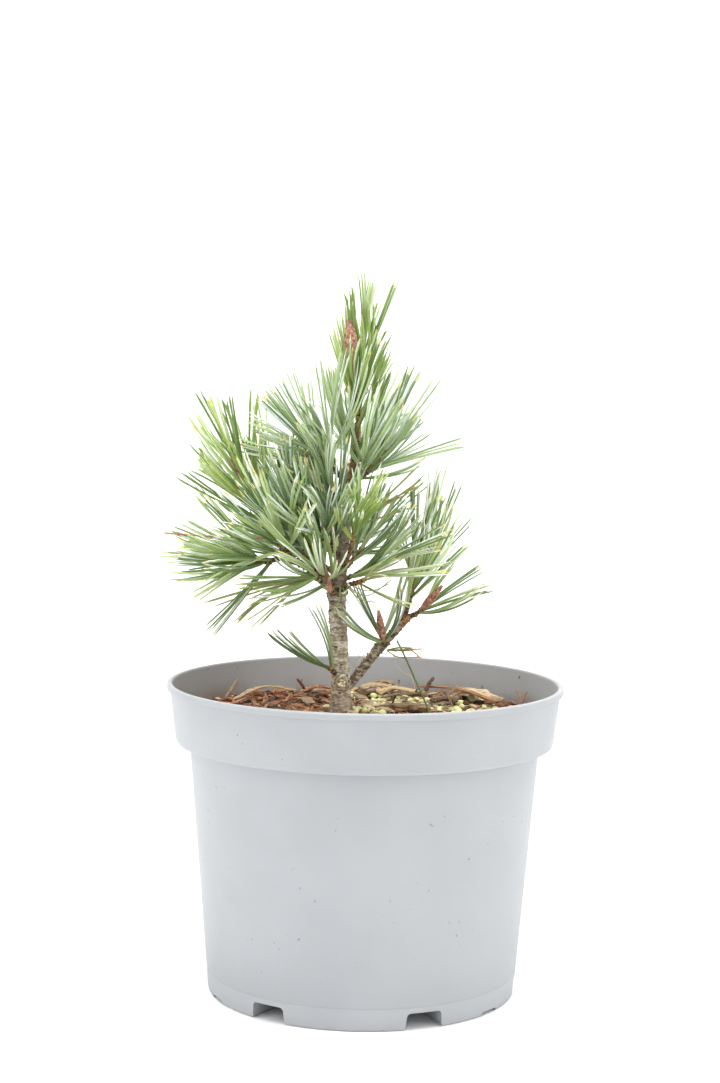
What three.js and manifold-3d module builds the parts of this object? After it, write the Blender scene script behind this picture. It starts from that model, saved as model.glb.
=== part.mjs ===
import * as THREE from "three";
import { mergeVertices } from "three/addons/utils/BufferGeometryUtils.js";
import Module from "manifold-3d";

// A dwarf Siberian pine with blue-green needles, growing in a round nursery pot.
// Millimetres, +Z up, front towards -Y. The origin is the middle of the pot's underside.

const wasm = await Module();
wasm.setup();

// Driving dimensions
const GAP = 0.3;
const POT_HEIGHT = 148.5;
const RIM_RADIUS = 95;
const LIP_INNER_RADIUS = 92.3;
const BEAD_HEIGHT = 3.2;
const COLLAR_FOOT_Z = 120.2;
const COLLAR_FOOT_RADIUS = 90.5;
const BODY_TOP_RADIUS = 84;
const BASE_RADIUS = 73.9;
const WALL = 1.5;
const FLOOR_Z = 10;
const RECESS_RADIUS = 40;
const RECESS_DEPTH = 3.5;
const FEET_TURN = -6;
const DEEP_CHANNEL = 8;
const LOW_CHANNEL = 1.8;
const POT_SIDES = 36;
const SOIL_Z = 130.5;
const SOIL_MOUND = 2.7;
const TRUNK_FOOT_Z = 133.5;
const TRUNK_FOOT = [-11.3, 0];
const CHIPS = 16;
const NEEDLE_WIDTH = 1.5;
const NEEDLE_DEPTH = 1.1;
const FORK = 0.055;
const ROOT_DEPTH = 0.5;
const WIDEST = 0.45;
const FORWARD_BEND = 0.5;
const UNEVENNESS = 0.16;
const NEEDLE_REACH = 94.6;
const OWN_SPACE = 1.6;
const FINE_GRID = 0.002;
const COARSE_GRID = 0.01;
const GOLDEN_ANGLE = THREE.MathUtils.degToRad(137.508);
const UP = new THREE.Vector3(0, 0, 1);

// Colours and surface of each kind of piece
const plastic = new THREE.MeshStandardMaterial({ color: 0xc3c8ce, roughness: 0.55 });
const bark = new THREE.MeshStandardMaterial({ color: 0x9a8d7c, roughness: 0.9 });
const mulch = new THREE.MeshStandardMaterial({ color: 0x8a6548, roughness: 1 });
const needleColors = { fresh: 0x86ab46, blue: 0x5f8672, green: 0x6d9460, old: 0x9a9c58 };
const needleMaterials = Object.fromEntries(
  Object.entries(needleColors).map(([tone, color]) => [
    tone,
    new THREE.MeshStandardMaterial({ color, roughness: 0.6 }),
  ]),
);

// The limbs: points that each one's middle line passes, with its radius there.
const LIMBS = {
  trunk: {
    points: [
      [TRUNK_FOOT[0], TRUNK_FOOT[1], TRUNK_FOOT_Z],
      [-11.6, 0, 143],
      [-12.8, 0, 166],
      [-14, 0, 192],
      [-11.5, 0, 213],
      [-9.5, 0, 238],
      [-6.2, 0, 261],
      [-5.6, 0, 270],
    ],
    radii: [5.6, 4.6, 4.15, 4.2, 2.7, 2.2, 1.55, 1.3],
    sides: 12,
    rings: 22,
  },
  bough_left: {
    points: [
      [-14, 0, 190],
      [-19.5, -4.5, 196],
      [-29, -11, 205],
      [-40, -15, 209.5],
    ],
    radii: [2.3, 2.2, 1.9, 1.5],
    sides: 9,
    rings: 8,
  },
  bough_right: {
    points: [
      [-11.6, 0, 143],
      [-4, 4.5, 151],
      [7, 9.5, 164.5],
      [21, 10, 179.5],
    ],
    radii: [2.5, 2.3, 2.2, 1.7],
    sides: 9,
    rings: 9,
  },
  bough_back: {
    points: [
      [-14, 0, 192],
      [-13.5, 6, 198],
      [-13, 13, 203],
    ],
    radii: [2, 1.8, 1.4],
    sides: 9,
    rings: 5,
  },
};

// The masses of needles. Each has one stem, from a place on its limb (0 foot, 1 tip) to its own tip,
// bowed by some millimetres. zone is where its needles start, spread their angle there and at the tip,
// rise how far they bend up, twigs the side twigs, and bud the length of the bud on the tip.
const MASSES = {
  needles_leader: {
    limb: "trunk", at: 1, tip: [-4.9, -2, 301], bow: 0, zone: 0.04, fascicles: 17, length: 41,
    spread: [28, 8], rise: 0.04, twigs: 0, bud: 18, tone: "fresh",
  },
  needles_upper_left: {
    limb: "trunk", at: 0.81, tip: [-26, -14, 260], bow: 1, zone: 0.2, fascicles: 12, length: 44,
    spread: [42, 14], rise: 0.02, twigs: 1, bud: 0, tone: "blue",
  },
  needles_upper_right: {
    limb: "trunk", at: 0.8, tip: [3, -6, 254], bow: 1, zone: 0.2, fascicles: 12, length: 47,
    spread: [38, 12], rise: 0.1, twigs: 1, bud: 8, tone: "blue",
  },
  needles_upper_back: {
    limb: "trunk", at: 0.82, tip: [-3, 17, 262], bow: 1, zone: 0.25, fascicles: 9, length: 42,
    spread: [44, 12], rise: 0.08, twigs: 1, bud: 8, tone: "blue",
  },
  needles_left_top: {
    limb: "bough_left", at: 0.87, tip: [-60, -13, 248], bow: 2, zone: 0.4, fascicles: 19, length: 43,
    spread: [34, 10], rise: 0.06, twigs: 0, bud: 11, tone: "fresh",
  },
  needles_left_mid: {
    limb: "bough_left", at: 0.74, tip: [-42, -24, 217], bow: 1, zone: 0.25, fascicles: 8, length: 44,
    spread: [36, 12], rise: 0.03, twigs: 1, bud: 0, tone: "green",
  },
  needles_left_low: {
    limb: "bough_left", at: 1, tip: [-54, -22, 208], bow: 1, zone: 0.1, fascicles: 11, length: 47,
    spread: [36, 10], rise: 0, twigs: 0, bud: 0, tone: "green",
  },
  needles_left_inner: {
    limb: "bough_left", at: 0.6, tip: [-33, -19, 229], bow: 1, zone: 0.2, fascicles: 9, length: 41,
    spread: [40, 12], rise: 0.06, twigs: 1, bud: 10, tone: "blue",
  },
  needles_left_hanging: {
    limb: "bough_left", at: 0.42, tip: [-33, -14, 197], bow: 0, zone: 0.3, fascicles: 4, length: 42,
    spread: [34, 14], rise: -0.14, twigs: 0, bud: 0, tone: "old",
  },
  needles_front: {
    limb: "trunk", at: 0.45, tip: [-22, -17, 204], bow: 1, zone: 0.2, fascicles: 11, length: 46,
    spread: [46, 14], rise: 0.09, twigs: 1, bud: 0, tone: "green",
  },
  needles_middle: {
    limb: "trunk", at: 0.55, tip: [-24, -15, 224], bow: 2, zone: 0.2, fascicles: 9, length: 44,
    spread: [36, 12], rise: 0.09, twigs: 1, bud: 0, tone: "blue",
  },
  needles_middle_high: {
    limb: "trunk", at: 0.66, tip: [-17.5, -15, 242], bow: 1, zone: 0.2, fascicles: 9, length: 39,
    spread: [38, 12], rise: 0.08, twigs: 0, bud: 0, tone: "blue",
  },
  needles_middle_fresh: {
    limb: "trunk", at: 0.52, tip: [-5.5, -27, 226], bow: 5, zone: 0.78, fascicles: 10, length: 29,
    spread: [34, 10], rise: 0.08, twigs: 0, bud: 0, tone: "fresh",
  },
  needles_front_low: {
    limb: "trunk", at: 0.44, tip: [-1, -15, 199], bow: 0, zone: 0.3, fascicles: 4, length: 38,
    spread: [46, 14], rise: -0.1, twigs: 0, bud: 0, tone: "old",
  },
  needles_right_mid: {
    limb: "trunk", at: 0.47, tip: [2, -9, 205], bow: 1, zone: 0.2, fascicles: 7, length: 45,
    spread: [26, 12], rise: 0.05, twigs: 0, bud: 0, tone: "green",
  },
  needles_right_low: {
    limb: "bough_right", at: 0.9, tip: [26, 7, 204], bow: -1, zone: 0.2, fascicles: 12, length: 44,
    spread: [36, 10], rise: 0.07, twigs: 1, bud: 0, tone: "green",
  },
  needles_right_out: {
    limb: "bough_right", at: 1, tip: [28, 5, 185], bow: 1, zone: 0.1, fascicles: 6, length: 39,
    spread: [34, 14], rise: 0, twigs: 0, bud: 14, tone: "green",
  },
  needles_right_spur: {
    limb: "bough_right", at: 0.68, tip: [7.8, 6, 170], bow: 3, zone: 0.6, fascicles: 8, length: 34,
    spread: [60, 30], rise: 0.06, twigs: 0, bud: 13, tone: "blue",
  },
  needles_foot: {
    limb: "trunk", at: 0.115, tip: [-17.5, -7, 156.5], bow: 0, zone: 0.4, fascicles: 3, length: 37,
    spread: [36, 14], rise: 0.08, twigs: 0, bud: 0, tone: "blue",
  },
  needles_back: {
    limb: "bough_back", at: 1, tip: [-16, 25, 214], bow: 1, zone: 0.1, fascicles: 10, length: 43,
    spread: [42, 12], rise: 0.08, twigs: 1, bud: 8, tone: "green",
  },
  needles_back_left: {
    limb: "bough_back", at: 0.6, tip: [-38, 18, 219], bow: 2, zone: 0.3, fascicles: 10, length: 44,
    spread: [42, 12], rise: 0.08, twigs: 1, bud: 0, tone: "blue",
  },
  needles_back_right: {
    limb: "bough_back", at: 0.7, tip: [1, 20, 218], bow: 2, zone: 0.3, fascicles: 7, length: 38,
    spread: [38, 12], rise: 0.1, twigs: 0, bud: 0, tone: "blue",
  },
};

// One number from 0 to 1, always the same for the same three whole numbers.
function draw(mass, item, use) {
  let h = Math.imul(mass, 374761393) + Math.imul(item, 668265263) + Math.imul(use, 2246822519);
  h = Math.imul(h ^ (h >>> 15), 2246822507);
  h = Math.imul(h ^ (h >>> 13), 3266489909);
  return ((h ^ (h >>> 16)) >>> 0) / 4294967296;
}

function vector(list) {
  return new THREE.Vector3(...list);
}

// Closed geometry to solid and back
function solidOf(geometry) {
  const bare = geometry.index ? geometry.toNonIndexed() : geometry.clone();
  bare.deleteAttribute("normal");
  bare.deleteAttribute("uv");
  const merged = mergeVertices(bare, 1e-4);
  const triVerts = keepWholeTriangles(merged);
  return new wasm.Manifold(
    new wasm.Mesh({ numProp: 3, vertProperties: merged.attributes.position.array, triVerts }),
  );
}

// The triangles whose three corners are still apart after merging.
function keepWholeTriangles(merged) {
  const kept = [];
  const index = merged.index.array;
  for (let i = 0; i < index.length; i += 3) {
    const [a, b, c] = [index[i], index[i + 1], index[i + 2]];
    if (a !== b && b !== c && c !== a) kept.push(a, b, c);
  }
  return new Uint32Array(kept);
}

function geometryOf(solid) {
  const { numProp, numVert, vertProperties, triVerts } = solid.getMesh();
  const position = new Float32Array(numVert * 3);
  for (let i = 0; i < numVert; i++) {
    position.set(vertProperties.subarray(i * numProp, i * numProp + 3), i * 3);
  }
  const geometry = new THREE.BufferGeometry();
  geometry.setAttribute("position", new THREE.BufferAttribute(position, 3));
  geometry.setIndex(new THREE.BufferAttribute(triVerts, 1));
  return geometry;
}

// A geometry with its corners rounded to a grid, so that the slivers a union leaves close up.
// Returns null where some edge is then not shared by exactly two triangles.
function onGrid(geometry, grid) {
  const corners = geometry.attributes.position.array.map((v) => Math.round(v / grid) * grid);
  const rounded = new THREE.BufferGeometry();
  rounded.setAttribute("position", new THREE.BufferAttribute(corners, 3));
  rounded.setIndex(geometry.index);
  const merged = mergeVertices(rounded, grid / 4);
  const faces = withoutFlatPairs(keepWholeTriangles(merged));
  const uses = new Map();
  for (let i = 0; i < faces.length; i++) {
    const next = i % 3 === 2 ? i - 2 : i + 1;
    const edge = [faces[i], faces[next]].sort((a, b) => a - b).join();
    uses.set(edge, (uses.get(edge) ?? 0) + 1);
  }
  if ([...uses.values()].some((count) => count !== 2)) return null;
  merged.setIndex(new THREE.BufferAttribute(new Uint32Array(faces), 1));
  return merged;
}

// The triangles, less those that lie back to back on the same three corners.
function withoutFlatPairs(faces) {
  const found = new Map();
  for (let i = 0; i < faces.length; i += 3) {
    const triangle = [...faces.slice(i, i + 3)];
    const key = [...triangle].sort((a, b) => a - b).join();
    if (found.has(key)) found.delete(key);
    else found.set(key, triangle);
  }
  return [...found.values()].flat();
}

// The largest closed body of a solid, with any sealed hollow filled, or null where it has no clean
// surface on both a fine and a coarse grid.
function oneBody(solid) {
  const bodies = solid.decompose();
  bodies.sort((a, b) => b.volume() - a.volume());
  const geometry = geometryOf(bodies[0]);
  return onGrid(geometry, COARSE_GRID) && onGrid(geometry, FINE_GRID);
}

function meshOf(name, geometry, material) {
  const shaded = geometry.toNonIndexed();
  shaded.computeVertexNormals();
  const mesh = new THREE.Mesh(shaded, material);
  mesh.name = name;
  return mesh;
}

// Rings of a limb or twig, tapered along a smooth line and closed at both ends.
// swell widens a ring at an angle, and a foot height cuts the first ring level.
function taperedRod(points, radii, sides, rings, { swell = () => 1, footZ = null, extra = 0 } = {}) {
  const curve = new THREE.CatmullRomCurve3(points.map(vector), false, "centripetal");
  const frames = curve.computeFrenetFrames(rings, false);
  const corners = [];
  const faces = [];
  for (let i = 0; i <= rings; i++) {
    const u = i / rings;
    const middle = curve.getPointAt(u);
    const radius = radiusAt(curve, radii, u) + extra;
    for (let k = 0; k < sides; k++) {
      const angle = (2 * Math.PI * k) / sides;
      const r = radius * swell(angle, middle.z);
      const corner = middle.clone();
      corner.addScaledVector(frames.normals[i], r * Math.cos(angle));
      corner.addScaledVector(frames.binormals[i], r * Math.sin(angle));
      if (i === 0 && footZ !== null) corner.z = footZ;
      corners.push(corner);
    }
  }
  const first = corners.length;
  const foot = curve.getPointAt(0);
  if (footZ !== null) foot.z = footZ;
  corners.push(foot, curve.getPointAt(1));
  const last = rings * sides;
  for (let k = 0; k < sides; k++) {
    const next = (k + 1) % sides;
    for (let i = 0; i < last; i += sides) {
      faces.push(i + k, i + next, i + sides + next, i + k, i + sides + next, i + sides + k);
    }
    faces.push(first, next, k);
    faces.push(first + 1, last + k, last + next);
  }
  return shell(corners, faces);
}

function shell(corners, faces) {
  const geometry = new THREE.BufferGeometry().setFromPoints(corners);
  geometry.setIndex(faces);
  return geometry;
}

// A limb's radius part of the way along its line, between the radii given at its points.
function radiusAt(curve, radii, u) {
  const t = curve.getUtoTmapping(u) * (radii.length - 1);
  const i = Math.min(Math.floor(t), radii.length - 2);
  return THREE.MathUtils.lerp(radii[i], radii[i + 1], t - i);
}

// Shortest distance between the segments a-b and c-d.
function segmentGap(a, b, c, d) {
  const u = b.clone().sub(a);
  const v = d.clone().sub(c);
  const w = a.clone().sub(c);
  const [uu, uv, vv, uw, vw] = [u.dot(u), u.dot(v), v.dot(v), u.dot(w), v.dot(w)];
  const det = uu * vv - uv * uv;
  let s = det > 1e-9 ? THREE.MathUtils.clamp((uv * vw - vv * uw) / det, 0, 1) : 0;
  const t = THREE.MathUtils.clamp((uv * s + vw) / (vv || 1), 0, 1);
  s = THREE.MathUtils.clamp((uv * t - uw) / (uu || 1), 0, 1);
  return w.addScaledVector(u, s).addScaledVector(v, -t).length();
}

// The pot: one thin moulded shell with a wide collar, a rim that stands out, and a ring of feet.
function potProfile() {
  const beadZ = POT_HEIGHT - BEAD_HEIGHT;
  const insideFoot = BASE_RADIUS - WALL + 0.9;
  return [
    [0, RECESS_DEPTH],
    [RECESS_RADIUS - 2, RECESS_DEPTH],
    [RECESS_RADIUS, 0],
    [BASE_RADIUS, 0],
    [BODY_TOP_RADIUS, COLLAR_FOOT_Z],
    [COLLAR_FOOT_RADIUS, COLLAR_FOOT_Z],
    [RIM_RADIUS - 0.9, beadZ],
    [RIM_RADIUS, beadZ + 0.7],
    [RIM_RADIUS, POT_HEIGHT],
    [LIP_INNER_RADIUS, POT_HEIGHT],
    [COLLAR_FOOT_RADIUS - WALL, COLLAR_FOOT_Z + WALL + 0.6],
    [BODY_TOP_RADIUS - WALL, COLLAR_FOOT_Z - 0.6],
    [insideFoot, FLOOR_Z],
    [0, FLOOR_Z],
  ];
}

function turned(profile, segments) {
  const points = profile.map(([r, z]) => new THREE.Vector2(r, z));
  const geometry = new THREE.LatheGeometry(points, segments);
  geometry.rotateX(Math.PI / 2);
  return geometry;
}

// A drain channel under the pot, cut inwards through the ring of feet at an angle from the front.
function channel(from, to, height) {
  const middle = THREE.MathUtils.degToRad((from + to) / 2);
  const half = (BASE_RADIUS * THREE.MathUtils.degToRad(to - from)) / 2;
  const corner = height / 5;
  const shape = new THREE.Shape();
  shape.moveTo(-half, -1);
  shape.lineTo(half, -1);
  shape.lineTo(half, height - corner);
  shape.lineTo(half - corner, height);
  shape.lineTo(-half + corner, height);
  shape.lineTo(-half, height - corner);
  shape.closePath();
  const innerEnd = RECESS_RADIUS - 4;
  const depth = BASE_RADIUS + 4 - innerEnd;
  const geometry = new THREE.ExtrudeGeometry(shape, { depth, bevelEnabled: false });
  geometry.rotateX(Math.PI / 2);
  geometry.translate(0, -innerEnd, 0);
  geometry.rotateZ(middle);
  return geometry;
}

function makePot() {
  let pot = solidOf(turned(potProfile(), POT_SIDES));
  for (let third = 0; third < 3; third++) {
    const turn = FEET_TURN + 120 * third;
    pot = pot.subtract(solidOf(channel(turn + 22, turn + 36, DEEP_CHANNEL)));
    pot = pot.subtract(solidOf(channel(turn + 55, turn + 65, LOW_CHANNEL)));
    pot = pot.subtract(solidOf(channel(turn + 84, turn + 98, DEEP_CHANNEL)));
  }
  return oneBody(pot);
}

// The soil fills the pot to just under its collar's middle, with a low mound round the trunk.
function soilHeight(x, y) {
  const away = Math.hypot(x - TRUNK_FOOT[0], y - TRUNK_FOOT[1]);
  const mound = SOIL_MOUND * THREE.MathUtils.smoothstep(60 - away, 0, 52);
  const bumps = Math.sin(0.13 * x + 1) * Math.cos(0.11 * y) + 0.6 * Math.sin(0.31 * x + 0.27 * y);
  return SOIL_Z + mound + 0.45 * bumps * THREE.MathUtils.smoothstep(away, 9, 20);
}

function makeSoil() {
  const collarRadius = COLLAR_FOOT_RADIUS - WALL - GAP;
  const stepZ = COLLAR_FOOT_Z + WALL + 0.6 + GAP;
  const slope = (RIM_RADIUS - COLLAR_FOOT_RADIUS) / (POT_HEIGHT - COLLAR_FOOT_Z);
  const edgeRadius = collarRadius + slope * (SOIL_Z - stepZ) * 0.7;
  const profile = [
    [0, FLOOR_Z + GAP],
    [BASE_RADIUS - WALL + 0.9 - GAP, FLOOR_Z + GAP],
    [BODY_TOP_RADIUS - WALL - GAP, COLLAR_FOOT_Z - 0.6],
    [collarRadius, stepZ],
    [edgeRadius, SOIL_Z - 0.5],
    [edgeRadius - 7, SOIL_Z],
    [62, SOIL_Z],
    [46, SOIL_Z],
    [31, SOIL_Z],
    [17, SOIL_Z],
    [7, SOIL_Z],
    [0, SOIL_Z],
  ];
  const geometry = turned(profile, POT_SIDES);
  const position = geometry.attributes.position;
  for (let i = 0; i < position.count; i++) {
    if (position.getZ(i) < SOIL_Z - 0.1) continue;
    const z = soilHeight(position.getX(i), position.getY(i));
    position.setZ(i, Math.min(z, TRUNK_FOOT_Z - GAP));
  }
  let soil = solidOf(geometry);
  for (let i = 0; i < CHIPS; i++) soil = soil.add(solidOf(chip(i)));
  return oneBody(soil);
}

// One flat bark chip, lying half sunk in the soil at a slight tilt.
function chip(i) {
  const length = 9 + 15 * draw(91, i, 1);
  const width = 2.5 + 3.5 * draw(91, i, 2);
  const shape = new THREE.Shape();
  shape.moveTo(-length / 2, -width * 0.2);
  shape.lineTo(-length * 0.2, -width / 2);
  shape.lineTo(length * 0.45, -width * 0.35);
  shape.lineTo(length / 2, width * 0.1);
  shape.lineTo(length * 0.1, width / 2);
  shape.closePath();
  const thick = 2.4 + 1.2 * draw(91, i, 3);
  const geometry = new THREE.ExtrudeGeometry(shape, { depth: thick, bevelEnabled: false });
  geometry.translate(0, 0, -thick * 0.55);
  geometry.rotateY(0.22 * (draw(91, i, 4) - 0.5));
  geometry.rotateX(0.3 * (draw(91, i, 5) - 0.5));
  geometry.rotateZ(2 * Math.PI * draw(91, i, 6));
  const away = 20 + 52 * Math.sqrt(draw(91, i, 7));
  const angle = i * GOLDEN_ANGLE;
  const [x, y] = [away * Math.cos(angle), away * Math.sin(angle)];
  geometry.translate(x, y, soilHeight(x, y));
  return geometry;
}

// Trunk and boughs. The trunk flares in low lobes where it enters the soil.
function limbGeometry(name, extra = 0) {
  const limb = LIMBS[name];
  const flare = (angle, z) =>
    1 + 0.1 * Math.exp((TRUNK_FOOT_Z - z) / 5) * (1 + Math.cos(3 * angle + 0.6));
  const trunk = name === "trunk";
  const options = { extra, swell: trunk ? flare : undefined, footZ: trunk ? TRUNK_FOOT_Z : null };
  return taperedRod(limb.points, limb.radii, limb.sides, limb.rings, options);
}

const limbCurves = Object.fromEntries(
  Object.entries(LIMBS).map(([name, { points }]) => [
    name,
    new THREE.CatmullRomCurve3(points.map(vector), false, "centripetal"),
  ]),
);

// Each limb as a run of short straight pieces with a radius, to measure distances from.
const limbPieces = Object.entries(LIMBS).flatMap(([name, { radii }]) => {
  const curve = limbCurves[name];
  return Array.from({ length: 16 }, (_, i) => ({
    a: curve.getPointAt(i / 16),
    b: curve.getPointAt((i + 1) / 16),
    radius: radiusAt(curve, radii, i / 16),
  }));
});

// A place on a bowed twig, from its foot at 0 to its tip at 1.
function twigPoint(twig, u) {
  const place = twig.foot.clone().lerp(twig.tip, u);
  place.z -= 4 * twig.bow * u * (1 - u);
  return place;
}

function twigHeading(twig, u) {
  return twigPoint(twig, u + 0.02).sub(twigPoint(twig, u)).normalize();
}

// Two directions square to a heading: level, and upwards.
function crossOf(heading) {
  const level = new THREE.Vector3().crossVectors(heading, UP);
  if (level.lengthSq() < 0.01) level.crossVectors(heading, new THREE.Vector3(0, -1, 0));
  level.normalize();
  return [level, new THREE.Vector3().crossVectors(level, heading)];
}

function leaning(heading, around, angle) {
  const [level, upward] = crossOf(heading);
  const outward = level.multiplyScalar(Math.cos(around));
  outward.addScaledVector(upward, Math.sin(around));
  return heading.clone().multiplyScalar(Math.cos(angle)).addScaledVector(outward, Math.sin(angle));
}

// A mass's stem and the side twigs that branch from it by a seeded rule.
function twigsOf(mass, number) {
  const foot = limbCurves[mass.limb].getPointAt(mass.at);
  const stem = { foot, tip: vector(mass.tip), bow: mass.bow, zone: mass.zone, share: 1 };
  stem.radius = [1.25, 0.9];
  const twigs = [stem];
  for (let k = 0; k < mass.twigs; k++) {
    const u = 0.45 + 0.3 * k + 0.1 * draw(number, k, 11);
    const around = (k + draw(number, k, 12)) * Math.PI;
    const heading = leaning(twigHeading(stem, u), around, 0.75);
    const start = twigPoint(stem, u);
    const reach = 0.42 * foot.distanceTo(stem.tip);
    const tip = start.clone().addScaledVector(heading, reach);
    twigs.push({ foot: start, tip, bow: 0.4, zone: 0.35, share: 0.45, radius: [0.95, 0.8] });
  }
  return twigs;
}

// A mass's fascicles: each a bundle of five needles, as a fork of two curves from inside its twig to
// points a little apart.
function fasciclesOf(mass, number, twigs) {
  const fascicles = [];
  twigs.forEach((twig, k) => {
    const count = Math.round(mass.fascicles * twig.share);
    for (let i = 0; i < count; i++) {
      const item = 100 * k + i;
      const f = (i + 0.5) / count;
      const u = THREE.MathUtils.lerp(twig.zone, 1, f);
      const heading = twigHeading(twig, u);
      const around = i * GOLDEN_ANGLE + 0.8 * (draw(number, item, 1) - 0.5);
      const spread = THREE.MathUtils.lerp(mass.spread[0], mass.spread[1], f ** 1.3);
      const angle = THREE.MathUtils.degToRad(spread + 16 * (draw(number, item, 2) - 0.5));
      const start = leaning(heading, around, angle);
      const outward = leaning(heading, around, Math.PI / 2);
      const root = twigPoint(twig, u).addScaledVector(outward, -ROOT_DEPTH * twig.radius[1]);
      const length = mass.length * (0.88 + 0.2 * draw(number, item, 3));
      const end = start.clone().lerp(heading, FORWARD_BEND);
      end.x += UNEVENNESS * (draw(number, item, 4) - 0.5);
      end.y += UNEVENNESS * (draw(number, item, 5) - 0.5);
      end.z += 2 * mass.rise + UNEVENNESS * (draw(number, item, 6) - 0.5);
      end.normalize();
      const knee = root.clone().addScaledVector(start, length / 2);
      const point = knee.clone().addScaledVector(end, length / 2);
      const across = leaning(start, 2 * Math.PI * draw(number, item, 22), Math.PI / 2);
      for (const side of [-FORK, FORK]) {
        const tip = point.clone().addScaledVector(across, side * length);
        fascicles.push({ root, middle: bentPlace(root, knee, tip, WIDEST), point: tip });
      }
    }
  });
  return fascicles;
}

// A place on the smooth bend from a root over a knee to a point.
function bentPlace(root, knee, point, t) {
  const place = root.clone().multiplyScalar((1 - t) ** 2);
  return place.addScaledVector(knee, 2 * t * (1 - t)).addScaledVector(point, t * t);
}

// A needle as one bent three-sided spike, pointed at both ends, with its root across the twig.
function spike({ root, middle, point }) {
  const heading = middle.clone().sub(root).normalize();
  const [level, upward] = crossOf(heading);
  const corners = [root];
  for (const [a, b] of [[-0.5, -0.35], [0.5, -0.35], [0, 0.65]]) {
    const corner = middle.clone().addScaledVector(level, a * NEEDLE_WIDTH);
    corners.push(corner.addScaledVector(upward, b * NEEDLE_DEPTH));
  }
  corners.push(point);
  return shell(corners, [0, 1, 2, 0, 2, 3, 0, 3, 1, 4, 2, 1, 4, 3, 2, 4, 1, 3]);
}

// A bud: a slim spindle that continues the stem's tip.
function bud(twig, length) {
  const heading = twigHeading(twig, 0.96);
  const stations = [-1.5, 0.12 * length, 0.45 * length, 0.8 * length, length];
  const thick = 0.085 * length + 0.75;
  const radii = [0.5, 0.85 * thick, thick, 0.6 * thick, 0.12 * thick];
  const points = stations.map((s) => twig.tip.clone().addScaledVector(heading, s).toArray());
  return taperedRod(points, radii, 5, 4);
}

const masses = Object.entries(MASSES).map(([name, mass], i) => {
  const twigs = twigsOf(mass, i + 1);
  return { name, mass, twigs, fascicles: fasciclesOf(mass, i + 1, twigs), kept: [] };
});

function nearestTwig(own, place) {
  return Math.min(...own.twigs.map(({ foot, tip }) => segmentGap(place, place, foot, tip)));
}

// A fascicle stays when it is nearer to its own twigs than to any other mass's, inside the reach of
// the crown, and clear of limbs, buds, other twigs and other masses' fascicles.
function staysClear(own, fascicle) {
  const { root, middle, point } = fascicle;
  const half = NEEDLE_WIDTH / 2;
  if (Math.max(Math.abs(point.x), Math.abs(point.y)) > NEEDLE_REACH) return false;
  const touches = (a, b, room) =>
    segmentGap(root, middle, a, b) < room || segmentGap(middle, point, a, b) < room;
  if (limbPieces.some(({ a, b, radius }) => touches(a, b, radius + half + GAP))) return false;
  for (const other of masses) {
    if (other === own) continue;
    if (OWN_SPACE * nearestTwig(other, middle) < nearestTwig(own, middle)) return false;
    for (const twig of other.twigs) {
      const heading = twigHeading(twig, 0.96);
      const length = twig === other.twigs[0] ? other.mass.bud : 0;
      const end = twig.tip.clone().addScaledVector(heading, length);
      if (touches(twig.foot, twig.tip, twig.radius[0] + half + 2 * GAP + twig.bow * 0.5)) return false;
      if (length && touches(twig.tip, end, 0.085 * length + 0.75 + half + GAP)) return false;
    }
    for (const placed of other.kept) {
      const room = 2 * half + GAP;
      if (touches(placed.root, placed.middle, room)) return false;
      if (touches(placed.middle, placed.point, room)) return false;
    }
  }
  return true;
}

// A mass's stem, side twigs, bud and kept fascicles in one body, cut clear of the limbs. A fascicle
// that would leave the body without a clean surface is left out.
function makeMass(own, clearances) {
  const wood = own.twigs.map((twig, k) => {
    const points = [0, 1 / 3, 2 / 3, 1].map((u) => twigPoint(twig, u).toArray());
    const radii = [0, 1 / 3, 2 / 3, 1].map((u) => THREE.MathUtils.lerp(...twig.radius, u));
    return solidOf(taperedRod(points, radii, k ? 3 : 5, k ? 1 : 2));
  });
  if (own.mass.bud) wood.push(solidOf(bud(own.twigs[0], own.mass.bud)));
  const cutClear = (solid) => clearances.reduce((rest, limb) => rest.subtract(limb), solid);
  let body = cutClear(wasm.Manifold.union(wood));
  let surface = oneBody(body);
  for (const fascicle of own.kept) {
    const fuller = body.add(cutClear(solidOf(spike(fascicle))));
    const fullerSurface = oneBody(fuller);
    if (!fullerSurface) continue;
    body = fuller;
    surface = fullerSurface;
  }
  if (!surface) throw new Error(own.name + " has no clean surface");
  return surface;
}

const plant = new THREE.Group();
plant.add(meshOf("pot", makePot(), plastic));
plant.add(meshOf("soil", makeSoil(), mulch));

// Boughs stop short of the trunk by the gap, as do the masses' stems of every limb.
const trunkClearance = solidOf(limbGeometry("trunk", GAP));
const clearances = Object.keys(LIMBS).map((name) => solidOf(limbGeometry(name, GAP)));
for (const name of Object.keys(LIMBS)) {
  let limb = solidOf(limbGeometry(name));
  if (name !== "trunk") limb = limb.subtract(trunkClearance);
  plant.add(meshOf(name, oneBody(limb), bark));
}
// The masses take turns, one fascicle each, so that every one gets its share of the crown.
const most = Math.max(...masses.map(({ fascicles }) => fascicles.length));
for (let turn = 0; turn < most; turn++) {
  for (const own of masses) {
    const fascicle = own.fascicles[own.fascicles.length - 1 - turn];
    if (fascicle && staysClear(own, fascicle)) own.kept.push(fascicle);
  }
}
for (const own of masses) {
  plant.add(meshOf(own.name, makeMass(own, clearances), needleMaterials[own.mass.tone]));
}

export default plant;
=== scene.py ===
import math

import bmesh
import bpy
import numpy as np
from mathutils import Matrix, Vector, noise


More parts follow.
